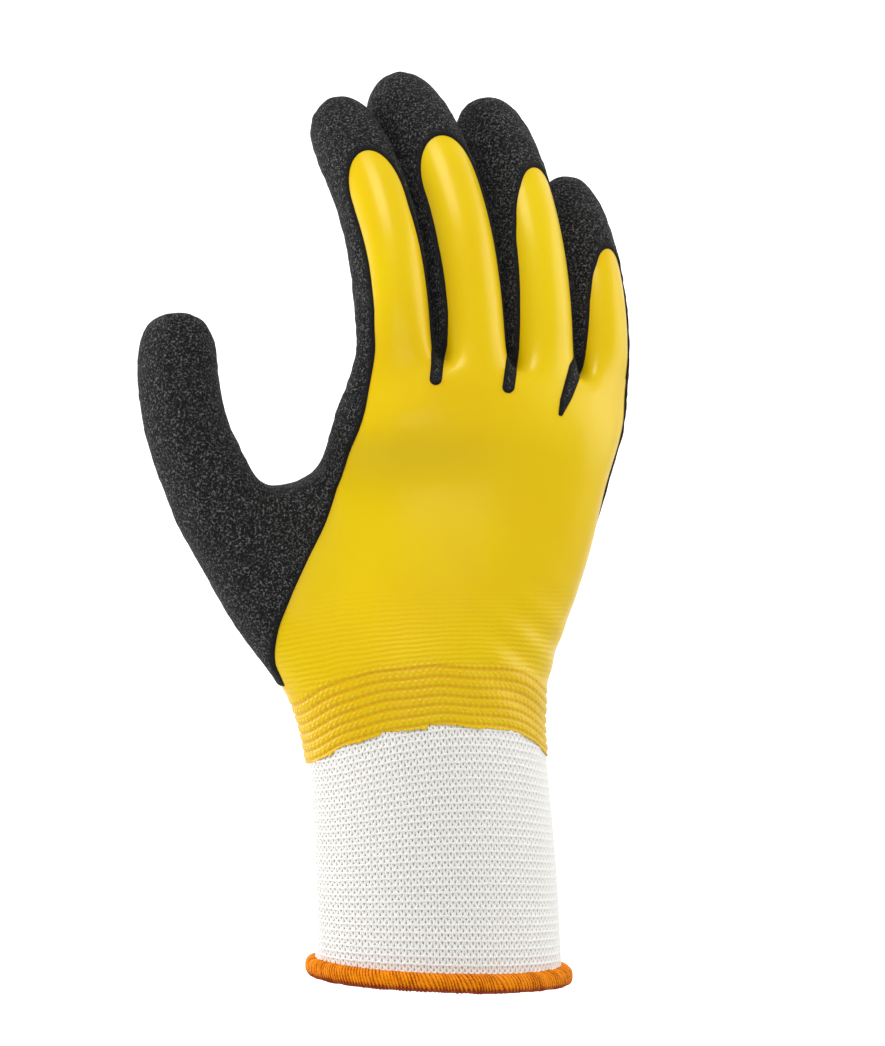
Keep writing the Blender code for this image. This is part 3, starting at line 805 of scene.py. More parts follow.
@dataclass
class TubeForm:
    """The form's lower part as a function of two parameters.

    Around runs from 0 to 22, a unit for each cage point, from the thumb's side over the back. Row
    runs from -2 at the hem over 0 at the dip line to 4 in the middle of the hand.
    """

    form: HandForm
    lowest: float = -2.0
    highest: float = 4.0

    def __post_init__(self) -> None:
        rings = self.form.trunk_rings()
        self.rings = np.stack([2 * rings[0] - rings[1], *rings])
        self.fine = np.linspace(0, self.form.ring_points, 80 * self.form.ring_points + 1)
        self.arc = running_length(self.at(np.array([-1.0]), self.fine)[0])
        self.girth = float(self.arc[-1])

    @property
    def wales(self) -> int:
        """Stitches round the cuff, a whole number of them."""
        return round(self.girth / WALE_PITCH)

    def weights(self, at: Array, count: int, first: int, closed: bool) -> Array:
        """Cubic B-spline weights of each control row or column at places between them.

        At a share t past a control the four weights are (1-t)^3, 3t^3-6t^2+4, -3t^3+3t^2+3t+1
        and t^3, all over 6, on the control before, this one and the next two.

        Args:
            at: Places, a unit for each control.
            count: How many controls there are.
            first: The first control's place.
            closed: Whether the last control joins the first.

        Returns:
            A row of weights for each place.
        """
        base = np.floor(at).astype(int)
        if not closed:
            base = np.minimum(base, count - 3 + first)
        t = at - base
        cubics = np.stack(
            [(1 - t) ** 3, 3 * t**3 - 6 * t**2 + 4, -3 * t**3 + 3 * t**2 + 3 * t + 1, t**3]
        )
        made = np.zeros((len(at), count))
        places = np.arange(len(at))
        for step in range(4):
            column = base - first - 1 + step
            np.add.at(made, (places, column % count if closed else column), cubics[step] / 6)
        return made

    def at(self, rows: Array, around: Array) -> Array:
        """Points at each row and place around, as a grid."""
        down = self.weights(rows, len(self.rings), -3, closed=False)
        across = self.weights(around, self.form.ring_points, 0, closed=True)
        return np.einsum("ri,ac,icx->rax", down, across, self.rings, optimize=True)

    def by_arc(self, arc: Array) -> Array:
        """Places around at lengths along the girth, measured at the cuff's middle."""
        turns = np.floor(arc / self.girth)
        rest = arc - turns * self.girth
        return turns * self.form.ring_points + np.interp(rest, self.arc, self.fine)

    def rows_by_height(self, heights: Array) -> Array:
        """Rows at lengths measured up the middle of the hand's back.

        Args:
            heights: The lengths, 0 at the dip line.

        Returns:
            The row of each.
        """
        rows = np.linspace(self.lowest, self.highest, 601)
        line = self.at(rows, np.array([self.form.ring_points / 4]))[:, 0]
        length = running_length(line)
        length -= np.interp(0.0, rows, length)
        return np.interp(heights, length, rows)

    def height_of_row(self, row: float) -> float:
        """The length up the middle of the hand's back from the dip line to a row.

        Args:
            row: The row, below 0 under the dip line.

        Returns:
            The length, negative under the dip line.
        """
        rows = np.linspace(min(0.0, row), max(0.0, row), 201)
        line = self.at(rows, np.array([self.form.ring_points / 4]))[:, 0]
        length = float(np.linalg.norm(np.diff(line, axis=0), axis=1).sum())
        return length if row > 0 else -length

    def with_normals(self, rows: Array, around: Array) -> tuple[Array, Array]:
        """A grid with its normals, the cross product of its two slopes.

        Args:
            rows: The grid's rows.
            around: Its places around.

        Returns:
            The points and their outward normals.
        """
        step = 1e-3
        points = self.at(rows, around)
        across = self.at(rows, around + step) - self.at(rows, around - step)
        low = np.clip(rows - step, self.lowest, self.highest)
        high = np.clip(rows + step, self.lowest, self.highest)
        up = self.at(high, around) - self.at(low, around)
        return points, unit(np.cross(across, up))


# Materials


class Graph:
    """A material's nodes, added and linked by short calls."""

    def __init__(self, name: str) -> None:
        self.material = bpy.data.materials.new(name)
        self.material.use_nodes = True
        self.tree = self.material.node_tree
        self.shader = self.tree.nodes["Principled BSDF"]

    def node(self, kind: str, inputs: dict | None = None, **settings: object) -> bpy.types.Node:
        """Adds a node: each input is a value, or another node's output to link."""
        made = self.tree.nodes.new("ShaderNode" + kind)
        for name, value in settings.items():
            setattr(made, name, value)
        for key, value in (inputs or {}).items():
            self.feed(made.inputs[key], value)
        return made

    def feed(self, socket: bpy.types.NodeSocket, value: object) -> None:
        """Links an output to a socket, or sets the socket's value."""
        if isinstance(value, bpy.types.NodeSocket):
            self.tree.links.new(value, socket)
        else:
            socket.default_value = value

    def place(self) -> bpy.types.NodeSocket:
        """A point's place on the object, in metres."""
        return self.node("TexCoord").outputs["Object"]

    def uv(self) -> bpy.types.NodeSocket:
        """A point's place on the piece's own UV map, in metres along the surface."""
        return self.node("UVMap", uv_map="along_surface").outputs["UV"]

    def value(self, name: str) -> bpy.types.NodeSocket:
        """A named value that the mesh's points carry."""
        return self.node("Attribute", attribute_name=name).outputs["Fac"]

    def noise(
        self, scale: float, detail: float, vector: bpy.types.NodeSocket, roughness: float = 0.5
    ) -> bpy.types.NodeSocket:
        """Noise from 0 to 1 with so many cells for each metre."""
        inputs = {"Scale": scale, "Detail": detail, "Vector": vector, "Roughness": roughness}
        return self.node("TexNoise", inputs).outputs["Fac"]

    def math(self, operation: str, a: object, b: object = 0.0) -> bpy.types.NodeSocket:
        """One sum of two values."""
        return self.node("Math", {0: a, 1: b}, operation=operation).outputs[0]

    def wave(self, value: object, pitch: float) -> bpy.types.NodeSocket:
        """A sine of a length, one wave to each pitch."""
        return self.math("SINE", self.math("MULTIPLY", value, 2 * math.pi / pitch))

    def blend(
        self, first: object, share: float, second: object, other: float
    ) -> bpy.types.NodeSocket:
        """The sum of two values, each times its share."""
        parts = [self.math("MULTIPLY", v, s) for v, s in ((first, share), (second, other))]
        return self.math("ADD", *parts)

    def span(
        self, value: object, low: float, high: float, start: float = 0.0, end: float = 1.0
    ) -> bpy.types.NodeSocket:
        """A value's range from low to high, stretched to run from start to end."""
        inputs = {"Value": value, "From Min": low, "From Max": high, "To Min": start, "To Max": end}
        return self.node("MapRange", inputs).outputs["Result"]

    def mix(self, share: object, first: object, second: object) -> bpy.types.NodeSocket:
        """A colour between two."""
        made = self.node("Mix", data_type="RGBA")
        for socket, value in zip((0, 6, 7), (share, first, second)):
            self.feed(made.inputs[socket], value)
        return made.outputs[2]

    def bump(
        self, height: object, strength: float, depth: float, normal: object = None
    ) -> bpy.types.NodeSocket:
        """A normal tilted by a height, in metres at full strength."""
        inputs = {"Height": height, "Strength": strength, "Distance": depth}
        if normal is not None:
            inputs["Normal"] = normal
        return self.node("Bump", inputs).outputs["Normal"]

    def finish(self, **inputs: object) -> bpy.types.Material:
        """Sets the shader's own sockets, named with underscores, and returns the material."""
        for name, value in inputs.items():
            self.feed(self.shader.inputs[name.replace("_", " ")], value)
        return self.material


Colour = tuple[float, float, float, float]


@dataclass(frozen=True)
class LatexFinish:
    """Smooth satin latex with painted shade in its grooves and beside the grip coat, and faint rows
    of the knit below it.
    """

    light: Colour = (0.80, 0.57, 0.0, 1.0)
    # The deeper colour: painted shade in the grooves and beside the grip coat, and the slow random
    # drift of tone.
    deep: Colour = (0.66, 0.33, 0.0, 1.0)
    roughness: float = 0.40
    row_pitch: float = 1.25 * MM

    def build(self) -> bpy.types.Material:
        """Colour by the groove value, painted shade and highlight, and by a slow drift of tone;
        bump by fine rows where they show, and by skin grain.
        """
        graph = Graph("satin_latex")
        place = graph.place()
        drift = graph.span(graph.noise(22.0, 2.0, place), 0.35, 0.65, 0.0, 0.35)
        # Painted shade and highlight from the groove value, plus a random drift of tone.
        depth = graph.math("ADD", graph.value("groove"), drift)
        colour = graph.mix(graph.span(depth, 0.0, 1.35), self.light, self.deep)
        surface = graph.node("SeparateXYZ", {0: graph.uv()}).outputs
        wobble = graph.span(graph.noise(160.0, 2.0, place), 0.3, 0.7, -0.2 * MM, 0.2 * MM)
        row = graph.wave(graph.math("ADD", surface["Y"], wobble), self.row_pitch)
        wale = graph.wave(surface["X"], WALE_PITCH)
        rows = graph.math("MULTIPLY", row, graph.value("rows"))
        rows = graph.math("MULTIPLY", rows, graph.span(wale, -1.0, 1.0, 0.55, 1.0))
        grain = graph.noise(2600.0, 3.0, place)
        normal = graph.bump(rows, 0.7, 0.10 * MM)
        normal = graph.bump(grain, 0.16, 0.10 * MM, normal)
        sheen = graph.span(graph.noise(420.0, 4.0, place), 0.3, 0.7, -0.05, 0.07)
        return graph.finish(
            Base_Color=colour,
            Roughness=graph.math("ADD", sheen, self.roughness),
            Specular_IOR_Level=0.35,
            Specular_Tint=(1.0, 0.85, 0.25, 1.0),
            Coat_Weight=0.28,
            Coat_Roughness=0.22,
            Normal=normal,
        )


@dataclass(frozen=True)
class GripFinish:
    """Sandy foam latex: black grains with grey specks, smooth and solid along its edge."""

    dark: Colour = (0.007, 0.007, 0.0072, 1.0)
    speck: Colour = (0.23, 0.23, 0.225, 1.0)
    roughness: float = 0.70
    grains: float = 1650.0

    def build(self) -> bpy.types.Material:
        """Specks on the crests of a fine two-scale grain, which also makes the bump."""
        graph = Graph("sandy_foam_latex")
        place = graph.place()
        coarse = graph.noise(self.grains, 3.0, place, 0.65)
        fine = graph.noise(self.grains * 2.3, 2.0, place, 0.7)
        grain = graph.blend(coarse, 0.65, fine, 0.35)
        inner = graph.value("inner")
        crest = graph.math("MULTIPLY", graph.span(grain, 0.51, 0.66), inner)
        colour = graph.mix(crest, self.dark, self.speck)
        height = graph.math("MULTIPLY", grain, inner)
        return graph.finish(
            Base_Color=colour,
            Roughness=self.roughness,
            Specular_IOR_Level=0.13,
            Normal=graph.bump(height, 1.0, 1.15 * MM),
        )


@dataclass(frozen=True)
class YarnFinish:
    """Dull white polyester yarn with fine fibres along it."""

    light: Colour = (0.95, 0.935, 0.90, 1.0)
    shade: Colour = (0.90, 0.875, 0.83, 1.0)
    roughness: float = 0.85
    fibres: float = 9000.0

    def build(self) -> bpy.types.Material:
        """Fibres as noise stretched along the yarn's own map."""
        graph = Graph("white_yarn")
        scale = {"Vector": graph.uv(), "Scale": (0.25, 1.6, 1.0)}
        along = graph.node("Mapping", scale, vector_type="POINT").outputs["Vector"]
        fibre = graph.noise(self.fibres, 2.0, along)
        colour = graph.mix(graph.span(fibre, 0.3, 0.75, 0.35, 0.0), self.light, self.shade)
        return graph.finish(
            Base_Color=colour,
            Roughness=self.roughness,
            Specular_IOR_Level=0.25,
            Sheen_Weight=0.25,
            Sheen_Roughness=0.5,
            Normal=graph.bump(fibre, 0.35, 0.08 * MM),
        )


@dataclass(frozen=True)
class LiningFinish:
    """The knitted lining: off-white rows of small stitches."""

    light: Colour = (0.82, 0.80, 0.75, 1.0)
    shade: Colour = (0.56, 0.51, 0.43, 1.0)
    row_pitch: float = 1.7 * MM

    def build(self) -> bpy.types.Material:
        """Stitches as two crossed waves on Object coordinates, rows along Z."""
        graph = Graph("knit_lining")
        place = graph.place()
        parts = graph.node("SeparateXYZ", {0: place}).outputs
        row, wale = graph.wave(parts["Z"], self.row_pitch), graph.wave(parts["X"], WALE_PITCH)
        knit = graph.math("ADD", graph.blend(row, 0.5, wale, 0.3), graph.noise(700.0, 3.0, place))
        colour = graph.mix(graph.span(knit, -0.4, 1.1), self.shade, self.light)
        return graph.finish(
            Base_Color=colour,
            Roughness=0.95,
            Specular_IOR_Level=0.2,
            Normal=graph.bump(knit, 0.8, 0.25 * MM),
        )


@dataclass(frozen=True)
class ThreadFinish:
    """Orange wound thread, each turn a shade of its own."""

    light: Colour = (0.93, 0.28, 0.003, 1.0)
    # The deeper colour: painted shade between the turns and on the roll's lower side, and each
    # thread's own tone.
    deep: Colour = (0.25, 0.018, 0.0, 1.0)
    roughness: float = 0.62

    def build(self) -> bpy.types.Material:
        """Colour by each thread's own tone, by painted shade in the groove beside it and on the
        roll's lower side, and by fibres, which also make the bump.
        """
        graph = Graph("orange_thread")
        place = graph.place()
        fibre = graph.noise(2600.0, 3.0, place)
        # The groove value is painted shade with each thread's own tone; the fibres add tone.
        shade = graph.math("ADD", graph.value("groove"), graph.span(fibre, 0.3, 0.7, -0.4, 0.4))
        colour = graph.mix(graph.span(shade, 0.0, 1.1), self.light, self.deep)
        return graph.finish(
            Base_Color=colour,
            Roughness=self.roughness,
            Specular_IOR_Level=0.22,
            Specular_Tint=(1.0, 0.75, 0.3, 1.0),
            Normal=graph.bump(fibre, 0.4, 0.12 * MM),
        )


@dataclass(frozen=True)
class StageFinish:
    """Plain white paper that glows above the floor by its own emission, painted light rather than a
    lamp.
    """

    colour: Colour = (0.93, 0.93, 0.93, 1.0)
    glow: float = 0.62
    glow_rise: float = 0.3  # height over the floor at which the glow is full

    def build(self) -> bpy.types.Material:
        """One plain matt colour that glows above the floor."""
        graph = Graph("white_paper")
        height = graph.node("SeparateXYZ", {0: graph.place()}).outputs["Z"]
        return graph.finish(
            Base_Color=self.colour,
            Roughness=0.95,
            Specular_IOR_Level=0.1,
            Emission_Color=(1.0, 1.0, 1.0, 1.0),
            # Painted light: the paper's glow, none at the floor and full above it.
            Emission_Strength=graph.span(height, FLOOR, FLOOR + self.glow_rise, 0.0, self.glow),
        )


# Where the grip coat ends


class EdgePoint(NamedTuple):
    """A point of the coat's edge: x of the palm's width, z of its length above the cuff."""

    x: float
    z: float


class TonguePoint(NamedTuple):
    """The coat's tongue at a rise over its web: its shift along the view and half-width, in mm."""

    rise: float
    shift: float
    half: float


class StripPoint(NamedTuple):
    """A finger's bare strip at a share of its length: its sides, in degrees round the finger."""

    share: float
    left: float
    right: float


@dataclass
class CoatEdge:
    """How far inside the bare latex a point lies: the line at zero is the coat's edge."""

    form: HandForm
    side_blend: float = 0.25  # depth over which the back's edges give way to the palm's
    strip_round: float = 0.16
    strip_start: float = 0.12
    strip_ends: tuple[float, ...] = (0.705, 0.69, 0.663, 0.57)
    strips: tuple[tuple[StripPoint, ...], ...] = (
        (
            StripPoint(0.00, -58, 54),
            StripPoint(0.15, -54, 62),
            StripPoint(0.32, -57, 55),
            StripPoint(0.50, -63, 42),
        ),
        (
            StripPoint(0.00, -54, 56),
            StripPoint(0.15, -51, 67),
            StripPoint(0.36, -54, 69),
            StripPoint(0.50, -53, 64),
        ),
        (
            StripPoint(0.00, -51, 66),
            StripPoint(0.20, -48, 82),
            StripPoint(0.42, -42, 85),
            StripPoint(0.60, -22, 82),
        ),
        (
            StripPoint(0.00, -54, 73),
            StripPoint(0.15, -48, 67),
            StripPoint(0.33, -38, 66),
            StripPoint(0.50, -18, 76),
        ),
    )
    tongue_azimuth: float = -22.0
    tongue_floor: float = 1.2 * MM
    tongue_reach: float = 7.0 * MM
    tongues: tuple[tuple[TonguePoint, ...], ...] = (
        (
            TonguePoint(-3.7, 1.0, 1.7),
            TonguePoint(0.0, 1.4, 1.7),
            TonguePoint(5.4, 1.9, 2.2),
            TonguePoint(14.0, 1.8, 2.5),
        ),
        (
            TonguePoint(-3.7, 1.0, 1.7),
            TonguePoint(1.4, 1.8, 1.7),
            TonguePoint(7.0, 2.6, 1.7),
            TonguePoint(14.0, 2.7, 1.7),
        ),
        (
            TonguePoint(-8.8, -3.5, 0.7),
            TonguePoint(-5.0, -2.1, 1.6),
            TonguePoint(3.4, 1.0, 2.2),
            TonguePoint(14.0, 3.0, 2.2),
        ),
    )
    thumb_side: tuple[EdgePoint, ...] = (
        EdgePoint(-0.620, 0.08),
        EdgePoint(-0.525, 0.15),
        EdgePoint(-0.555, 0.20),
        EdgePoint(-0.583, 0.26),
        EdgePoint(-0.580, 0.33),
        EdgePoint(-0.542, 0.41),
        EdgePoint(-0.476, 0.51),
        EdgePoint(-0.403, 0.61),
        EdgePoint(-0.351, 0.72),
        EdgePoint(-0.325, 0.82),
        EdgePoint(-0.285, 0.93),
        EdgePoint(-0.255, 1.03),
        EdgePoint(-0.245, 1.12),
    )
    little_side: tuple[EdgePoint, ...] = (
        EdgePoint(0.570, 0.45),
        EdgePoint(0.560, 0.60),
        EdgePoint(0.575, 0.67),
        EdgePoint(0.610, 0.74),
        EdgePoint(0.650, 0.81),
        EdgePoint(0.690, 0.90),
        EdgePoint(0.720, 1.03),
    )
    palm_side: tuple[EdgePoint, ...] = (
        EdgePoint(-0.60, 0.200),
        EdgePoint(-0.45, 0.155),
        EdgePoint(-0.20, 0.130),
        EdgePoint(0.05, 0.155),
        EdgePoint(0.25, 0.230),
        EdgePoint(0.42, 0.360),
        EdgePoint(0.56, 0.550),
    )

    def smooth(self, knots: Array, values: Array, at: Array) -> Array:
        """Values on a smooth curve through points, with Catmull-Rom slopes and held ends.

        Args:
            knots: The points' places, rising.
            values: The points' values.
            at: Where the curve is wanted.

        Returns:
            The curve's value at each place.
        """
        slopes = np.gradient(values, knots)
        cell = np.clip(np.searchsorted(knots, at) - 1, 0, len(knots) - 2)
        width = knots[cell + 1] - knots[cell]
        t = np.clip((at - knots[cell]) / width, 0, 1)
        start = t * (1 - t) ** 2 * slopes[cell] * width
        stop = -(t**2) * (1 - t) * slopes[cell + 1] * width
        return values[cell] + (values[cell + 1] - values[cell]) * ease(t) + start + stop

    def trunk_depth(self, points: Array) -> Array:
        """How far points of the palm or wrist lie on the palm's side of the hand's middle.

        Args:
            points: The points.

        Returns:
            The depths, negative on the back.
        """
        form = self.form
        x = points[:, 0] / form.palm_width
        z = (points[:, 2] - form.cuff_length) / form.palm_length
        rings = HAND_RINGS[:-1] + PALM_RINGS
        heights = [(r.left_z + r.right_z) / 2 for r in rings]
        left, right, left_y, right_y = (
            np.interp(z, heights, [getattr(r, name) for r in rings])
            for name in ("left_x", "right_x", "left_y", "right_y")
        )
        bow = 1 + ease((z - HAND_RINGS[-1].right_z) / 0.15)
        across = np.clip((x - left) / (right - left), 0, 1) ** bow
        return points[:, 1] - (left_y + (right_y - left_y) * across) * form.palm_depth

    def hand(self, points: Array, depth: Array) -> Array:
        """Bareness on the hand: inside both side edges on the back, below the palm's edge.

        Args:
            points: Points of the hand, or of a finger's root.
            depth: How far each lies on the palm's side of the hand's or finger's middle.

        Returns:
            The bareness, also outside the tongues between the fingers.
        """
        form = self.form
        x = points[:, 0] / form.palm_width
        z = (points[:, 2] - form.cuff_length) / form.palm_length
        thumb_xs, thumb_zs = np.array(self.thumb_side).T
        little_xs, little_zs = np.array(self.little_side).T
        palm_xs, palm_zs = np.array(self.palm_side).T
        left = x - self.smooth(thumb_zs, thumb_xs, z)
        right = self.smooth(little_zs, little_xs, z) - x
        back = np.minimum(left, right)
        palm = (self.smooth(palm_xs, palm_zs, x) - z) * form.palm_length
        towards_palm = ease(0.5 + depth / (form.palm_depth * self.side_blend))
        bare = (1 - towards_palm) * back * form.palm_width + towards_palm * palm
        for web, tongue in zip(form.webs(), self.tongues):
            bare = np.minimum(bare, self.tongue(points, web, tongue))
        return bare

    def tongue(self, points: Array, web: Array, tongue: tuple[TonguePoint, ...]) -> Array:
        """Distance from the coat's tongue that runs down the back from a finger's web.

        Its middle is a shift from the web, measured square to the photograph's line of sight, so
        that it runs on straight to the eye where the valley between the fingers comes forward.

        Args:
            points: Points of the hand, or of a finger's root.
            web: The middle of the web.
            tongue: The tongue's shape at heights over the web.

        Returns:
            The distance, negative inside the tongue and in the valley's floor.
        """
        turn = math.radians(self.tongue_azimuth)
        seen = (points[:, :2] - web[:2]) @ np.array([math.cos(turn), math.sin(turn)])
        rise = points[:, 2] - web[2]
        rises, shifts, halves = np.array(tongue).T * MM
        aside = seen - np.interp(rise, rises, shifts)
        distance = np.hypot(aside, np.minimum(rise - rises[0], 0)) - np.interp(rise, rises, halves)
        floor = np.maximum(web[1] - self.tongue_floor - points[:, 1], np.abs(aside) - 8 * MM)
        floor = np.maximum(floor, -rise)
        behind = points[:, 1] > web[1] + self.tongue_reach
        return np.where(behind, self.form.palm_width, np.minimum(distance, floor))

    def strip(self, points: Array, line: Line, digit: Digit, finger: int) -> tuple[Array, ...]:
        """Bareness of a finger's strip, an angle round its line that closes at a rounded end.

        Args:
            points: Points near the finger.
            line: The finger's centre line.
            digit: Its sizes.
            finger: Its number, the index finger's being 0.

        Returns:
            The bareness, the distance from the line, the share along it and the depth below it.
        """
        apart = np.linalg.norm(points[:, None, :] - line.points[None, :, :], axis=2)
        near = apart.argmin(axis=1)
        offset = points - line.points[near]
        share = line.share[near] + np.einsum("ij,ij->i", offset, line.along[near]) / digit.length
        lateral = np.einsum("ij,ij->i", offset, line.side[near])
        below = np.einsum("ij,ij->i", offset, line.palm[near])
        shares, lefts, rights = np.array(self.strips[finger]).T
        left, right = np.interp(share, shares, lefts), np.interp(share, shares, rights)
        half = (right - left) / 2
        turn = np.degrees(np.arctan2(lateral, -below)) - (left + right) / 2
        end = (share - self.strip_ends[finger]) / self.strip_round + 1
        inside = 1 - np.hypot(turn / half, np.clip(end, 0, None))
        return inside * np.radians(half) * digit.width / 2, apart.min(axis=1), share, below

    def bareness(self, skin: Skin) -> Array:
        """How far inside the bare latex each point lies.

        Args:
            skin: The form, or a part of it, with the form's own values.

        Returns:
            The distance in metres, negative under the coat.
        """
        points, marks = skin.points, skin.marks
        bare = self.hand(points, self.trunk_depth(points))
        nearest = np.full(len(points), np.inf)
        _, *fingers = self.form.digits()
        for finger, (column, digit, line) in enumerate(fingers):
            close = np.flatnonzero(marks[:, column] > 0)
            strip, distance, share, below = self.strip(points[close], line, digit, finger)
            mine = (share > 0) & (distance < nearest[close]) & (distance < digit.width * 0.8)
            own = ease(share / self.strip_start)
            mixed = own * strip + (1 - own) * self.hand(points[close], below)
            bare[close] = np.where(mine, mixed, bare[close])
            reached = np.where(share > 0, distance, np.inf)
            nearest[close] = np.minimum(nearest[close], reached)
        bare = bare - self.form.thumb.width * ease((marks[:, Mark.THUMB] - 0.35) / 0.4)
        return np.where(marks[:, Mark.ROW] < 0, self.form.palm_width, bare)


# Pieces


class DipPoint(NamedTuple):
    """The latex edge at a share of a turn from the thumb's side: its height over row 0, in mm."""

    turn: float
    rise: float


@dataclass
class DipLine:
    """The lower edge of the latex, where the dip into the yellow bath ended."""

    tube: TubeForm
    tooth: float = 0.22 * MM
    line: tuple[DipPoint, ...] = (
        DipPoint(0.000, -0.6),
        DipPoint(0.035, 0.8),
        DipPoint(0.055, 1.3),
        DipPoint(0.068, 2.8),
        DipPoint(0.085, 3.4),
        DipPoint(0.104, 2.9),
        DipPoint(0.141, 4.3),
        DipPoint(0.175, 3.6),
        DipPoint(0.203, 2.9),
        DipPoint(0.207, 3.9),
        DipPoint(0.240, 3.6),
        DipPoint(0.290, 2.1),
        DipPoint(0.294, 2.7),
        DipPoint(0.320, 2.7),
        DipPoint(0.345, 2.4),
        DipPoint(0.349, 3.2),
        DipPoint(0.366, 2.3),
        DipPoint(0.400, 1.5),
        DipPoint(0.440, -0.8),
        DipPoint(0.500, -1.6),
        DipPoint(0.600, -0.7),
        DipPoint(0.680, 0.3),
        DipPoint(0.684, 1.0),
        DipPoint(0.780, 0.4),
        DipPoint(0.785, -0.5),
        DipPoint(0.900, 0.2),
        DipPoint(1.000, -0.6),
    )

    def rise(self, arc: Array) -> Array:
        """Height of the edge over row 0, without its teeth, at lengths along the girth."""
        turns, rises = np.array(self.line).T
        return np.interp((arc / self.tube.girth) % 1.0, turns, rises * MM)

    def soft_rise(self, arc: Array, reach: float = 9 * MM) -> Array:
        """The edge's height evened out, which the ribs above follow.

        Args:
            arc: Lengths along the girth.
            reach: How far each way it is evened out.

        Returns:
            The height over row 0 at each length.
        """
        steps = np.linspace(-1, 1, 13)
        weights = np.cos(steps * math.pi / 2) ** 2 + 1e-9
        near = arc[..., None] + reach * steps
        return (self.rise(near) * weights).sum(axis=-1) / weights.sum()

    def edge(self, arc: Array) -> Array:
        """The edge with a small tooth at each stitch, two to a wale, and some longer ones.

        Args:
            arc: Lengths along the girth.

        Returns:
            The height over row 0 at each length.
        """
        turn = arc / self.tube.girth
        teeth, longer = 2 * self.tube.wales, 46
        own = lattice_noise(turn * teeth, np.zeros_like(turn), 33, period=teeth)
        slow = lattice_noise(turn * longer, np.ones_like(turn), 34, period=longer)
        bite = np.cos(2 * math.pi * turn * teeth)
        return self.rise(arc) + self.tooth * (bite * 0.6 + own * 0.9 + slow * 0.8)


@dataclass
class KnittedCuff:
    """The wrist's knit: closed courses of looped yarn over a soft backing wall."""

    tube: TubeForm
    dip: DipLine
    course_pitch: float = 2.2 * MM
    yarn_radius: float = 0.42 * MM
    loop_height: float = 0.56  # half of a loop's height, of the course pitch
    loop_bulge: float = 0.235  # how far a loop's neck is narrowed, of the wale pitch
    loop_depth: float = 0.10 * MM
    inset: float = 0.74 * MM  # of the yarn's middle line, inside the latex surface
    lowest: float = 4.4 * MM  # of the first course over the opening
    tuck: float = 6.5 * MM  # how far the knit runs up under the latex
    sink: float = 0.9 * MM  # how much deeper it lies there
    looseness: float = 0.035  # spread of the loops' heights, of the course pitch
    samples: int = 10
    sides: int = 5
    wall_outer: float = 1.0 * MM
    wall_inner: float = 2.1 * MM
    wall_relief: float = 0.16 * MM
    wall_courses: int = 34
    wall_columns: int = 430

    def courses(self) -> Array:
        """Heights of the courses over the dip line, from the hem up."""
        bottom = self.tube.height_of_row(self.tube.lowest) + self.lowest
        count = round((self.tuck - bottom) / self.course_pitch)
        return bottom + self.course_pitch * np.arange(count + 1)

    def yarn(self, heights: Array, seed: int) -> tuple[Array, Array, Array]:
        """Courses of yarn, each a closed tube.

        The middle line of a loop is wale + t/2pi + bulge sin(2t) across, height cos(t) up and
        depth cos(2t) outwards, for t from 0 to 2pi, so heads and feet stand in front and the legs
        behind, as on the purl side. A round profile is carried along it, square to its slope.

        Args:
            heights: Height of each course over the dip line.
            seed: Seed of the loops' small differences.

        Returns:
            Points, faces and the place of each point along and round its yarn, in metres.
        """
        wales = self.tube.wales
        steps = wales * self.samples
        turn = 2 * math.pi * np.arange(steps) / self.samples
        random = np.random.default_rng(seed)
        loose = random.normal(0, self.looseness, (len(heights), wales)).repeat(self.samples, axis=1)
        arc = WALE_PITCH * (turn / (2 * math.pi) + self.loop_bulge * np.sin(2 * turn))
        arc = arc * self.tube.girth / (wales * WALE_PITCH)
        up = (self.loop_height + loose) * self.course_pitch * np.cos(turn)
        covered = ease((heights[:, None] + up - self.dip.rise(arc)) / (1.4 * MM))
        out = self.loop_depth * np.cos(2 * turn) - self.inset - self.sink * covered
        centre = self.on_surface(heights, arc, up, out)
        along = unit(np.roll(centre, -1, axis=1) - np.roll(centre, 1, axis=1))
        beyond = self.on_surface(heights, arc, up, out + MM)
        side = unit(np.cross(along, beyond - centre))
        front = np.cross(side, along)
        angle = 2 * math.pi * np.arange(self.sides) / self.sides
        ring = np.cos(angle)[:, None] * front[:, :, None, :]
        ring = ring + np.sin(angle)[:, None] * side[:, :, None, :]
        points = centre[:, :, None, :] + self.yarn_radius * ring
        number = np.arange(steps * self.sides).reshape(steps, self.sides)
        after, beside = np.roll(number, -1, axis=0), np.roll(number, -1, axis=1)
        both = np.roll(after, -1, axis=1)
        faces = np.stack([number, after, both, beside], axis=-1).reshape(-1, 4)
        faces = faces + (np.arange(len(heights)) * steps * self.sides)[:, None, None]
        along_yarn = turn / (2 * math.pi) * 2.6 * WALE_PITCH
        length = np.broadcast_to(along_yarn[:, None], number.shape)
        round_it = np.broadcast_to(angle * self.yarn_radius, number.shape)
        uv = np.stack([length, round_it], axis=-1).reshape(-1, 2)
        shift = random.uniform(0, 1, (len(heights), 1, 2))
        return points.reshape(-1, 3), faces.reshape(-1, 4), (uv + shift).reshape(-1, 2)

    def on_surface(self, heights: Array, arc: Array, up: Array, out: Array) -> Array:
        """Points of each course at lengths along the girth, up from the course and outwards.

        The form is evaluated at each course's own line and half a course above and below, and a
        parabola through the three gives the points between.

        Args:
            heights: Height of each course over the dip line.
            arc: Lengths along the girth, the same for every course.
            up: How far above its course each point lies.
            out: How far out of the latex surface each point lies.

        Returns:
            The points, a row for each course.
        """
        reach = self.course_pitch / 2
        around = self.tube.by_arc(arc)
        lines = []
        for step in (-1, 0, 1):
            rows = self.tube.rows_by_height(heights + step * reach)
            points, normals = self.tube.with_normals(rows, around)
            lines.append((points, normals))
        share = (up / reach)[..., None]
        low, middle, high = (points for points, _ in lines)
        placed = middle + share * (high - low) / 2 + share**2 * (high + low - 2 * middle) / 2
        normal = unit(lines[1][1] + share * (lines[2][1] - lines[0][1]) / 2)
        return placed + normal * np.broadcast_to(out, up.shape)[..., None]

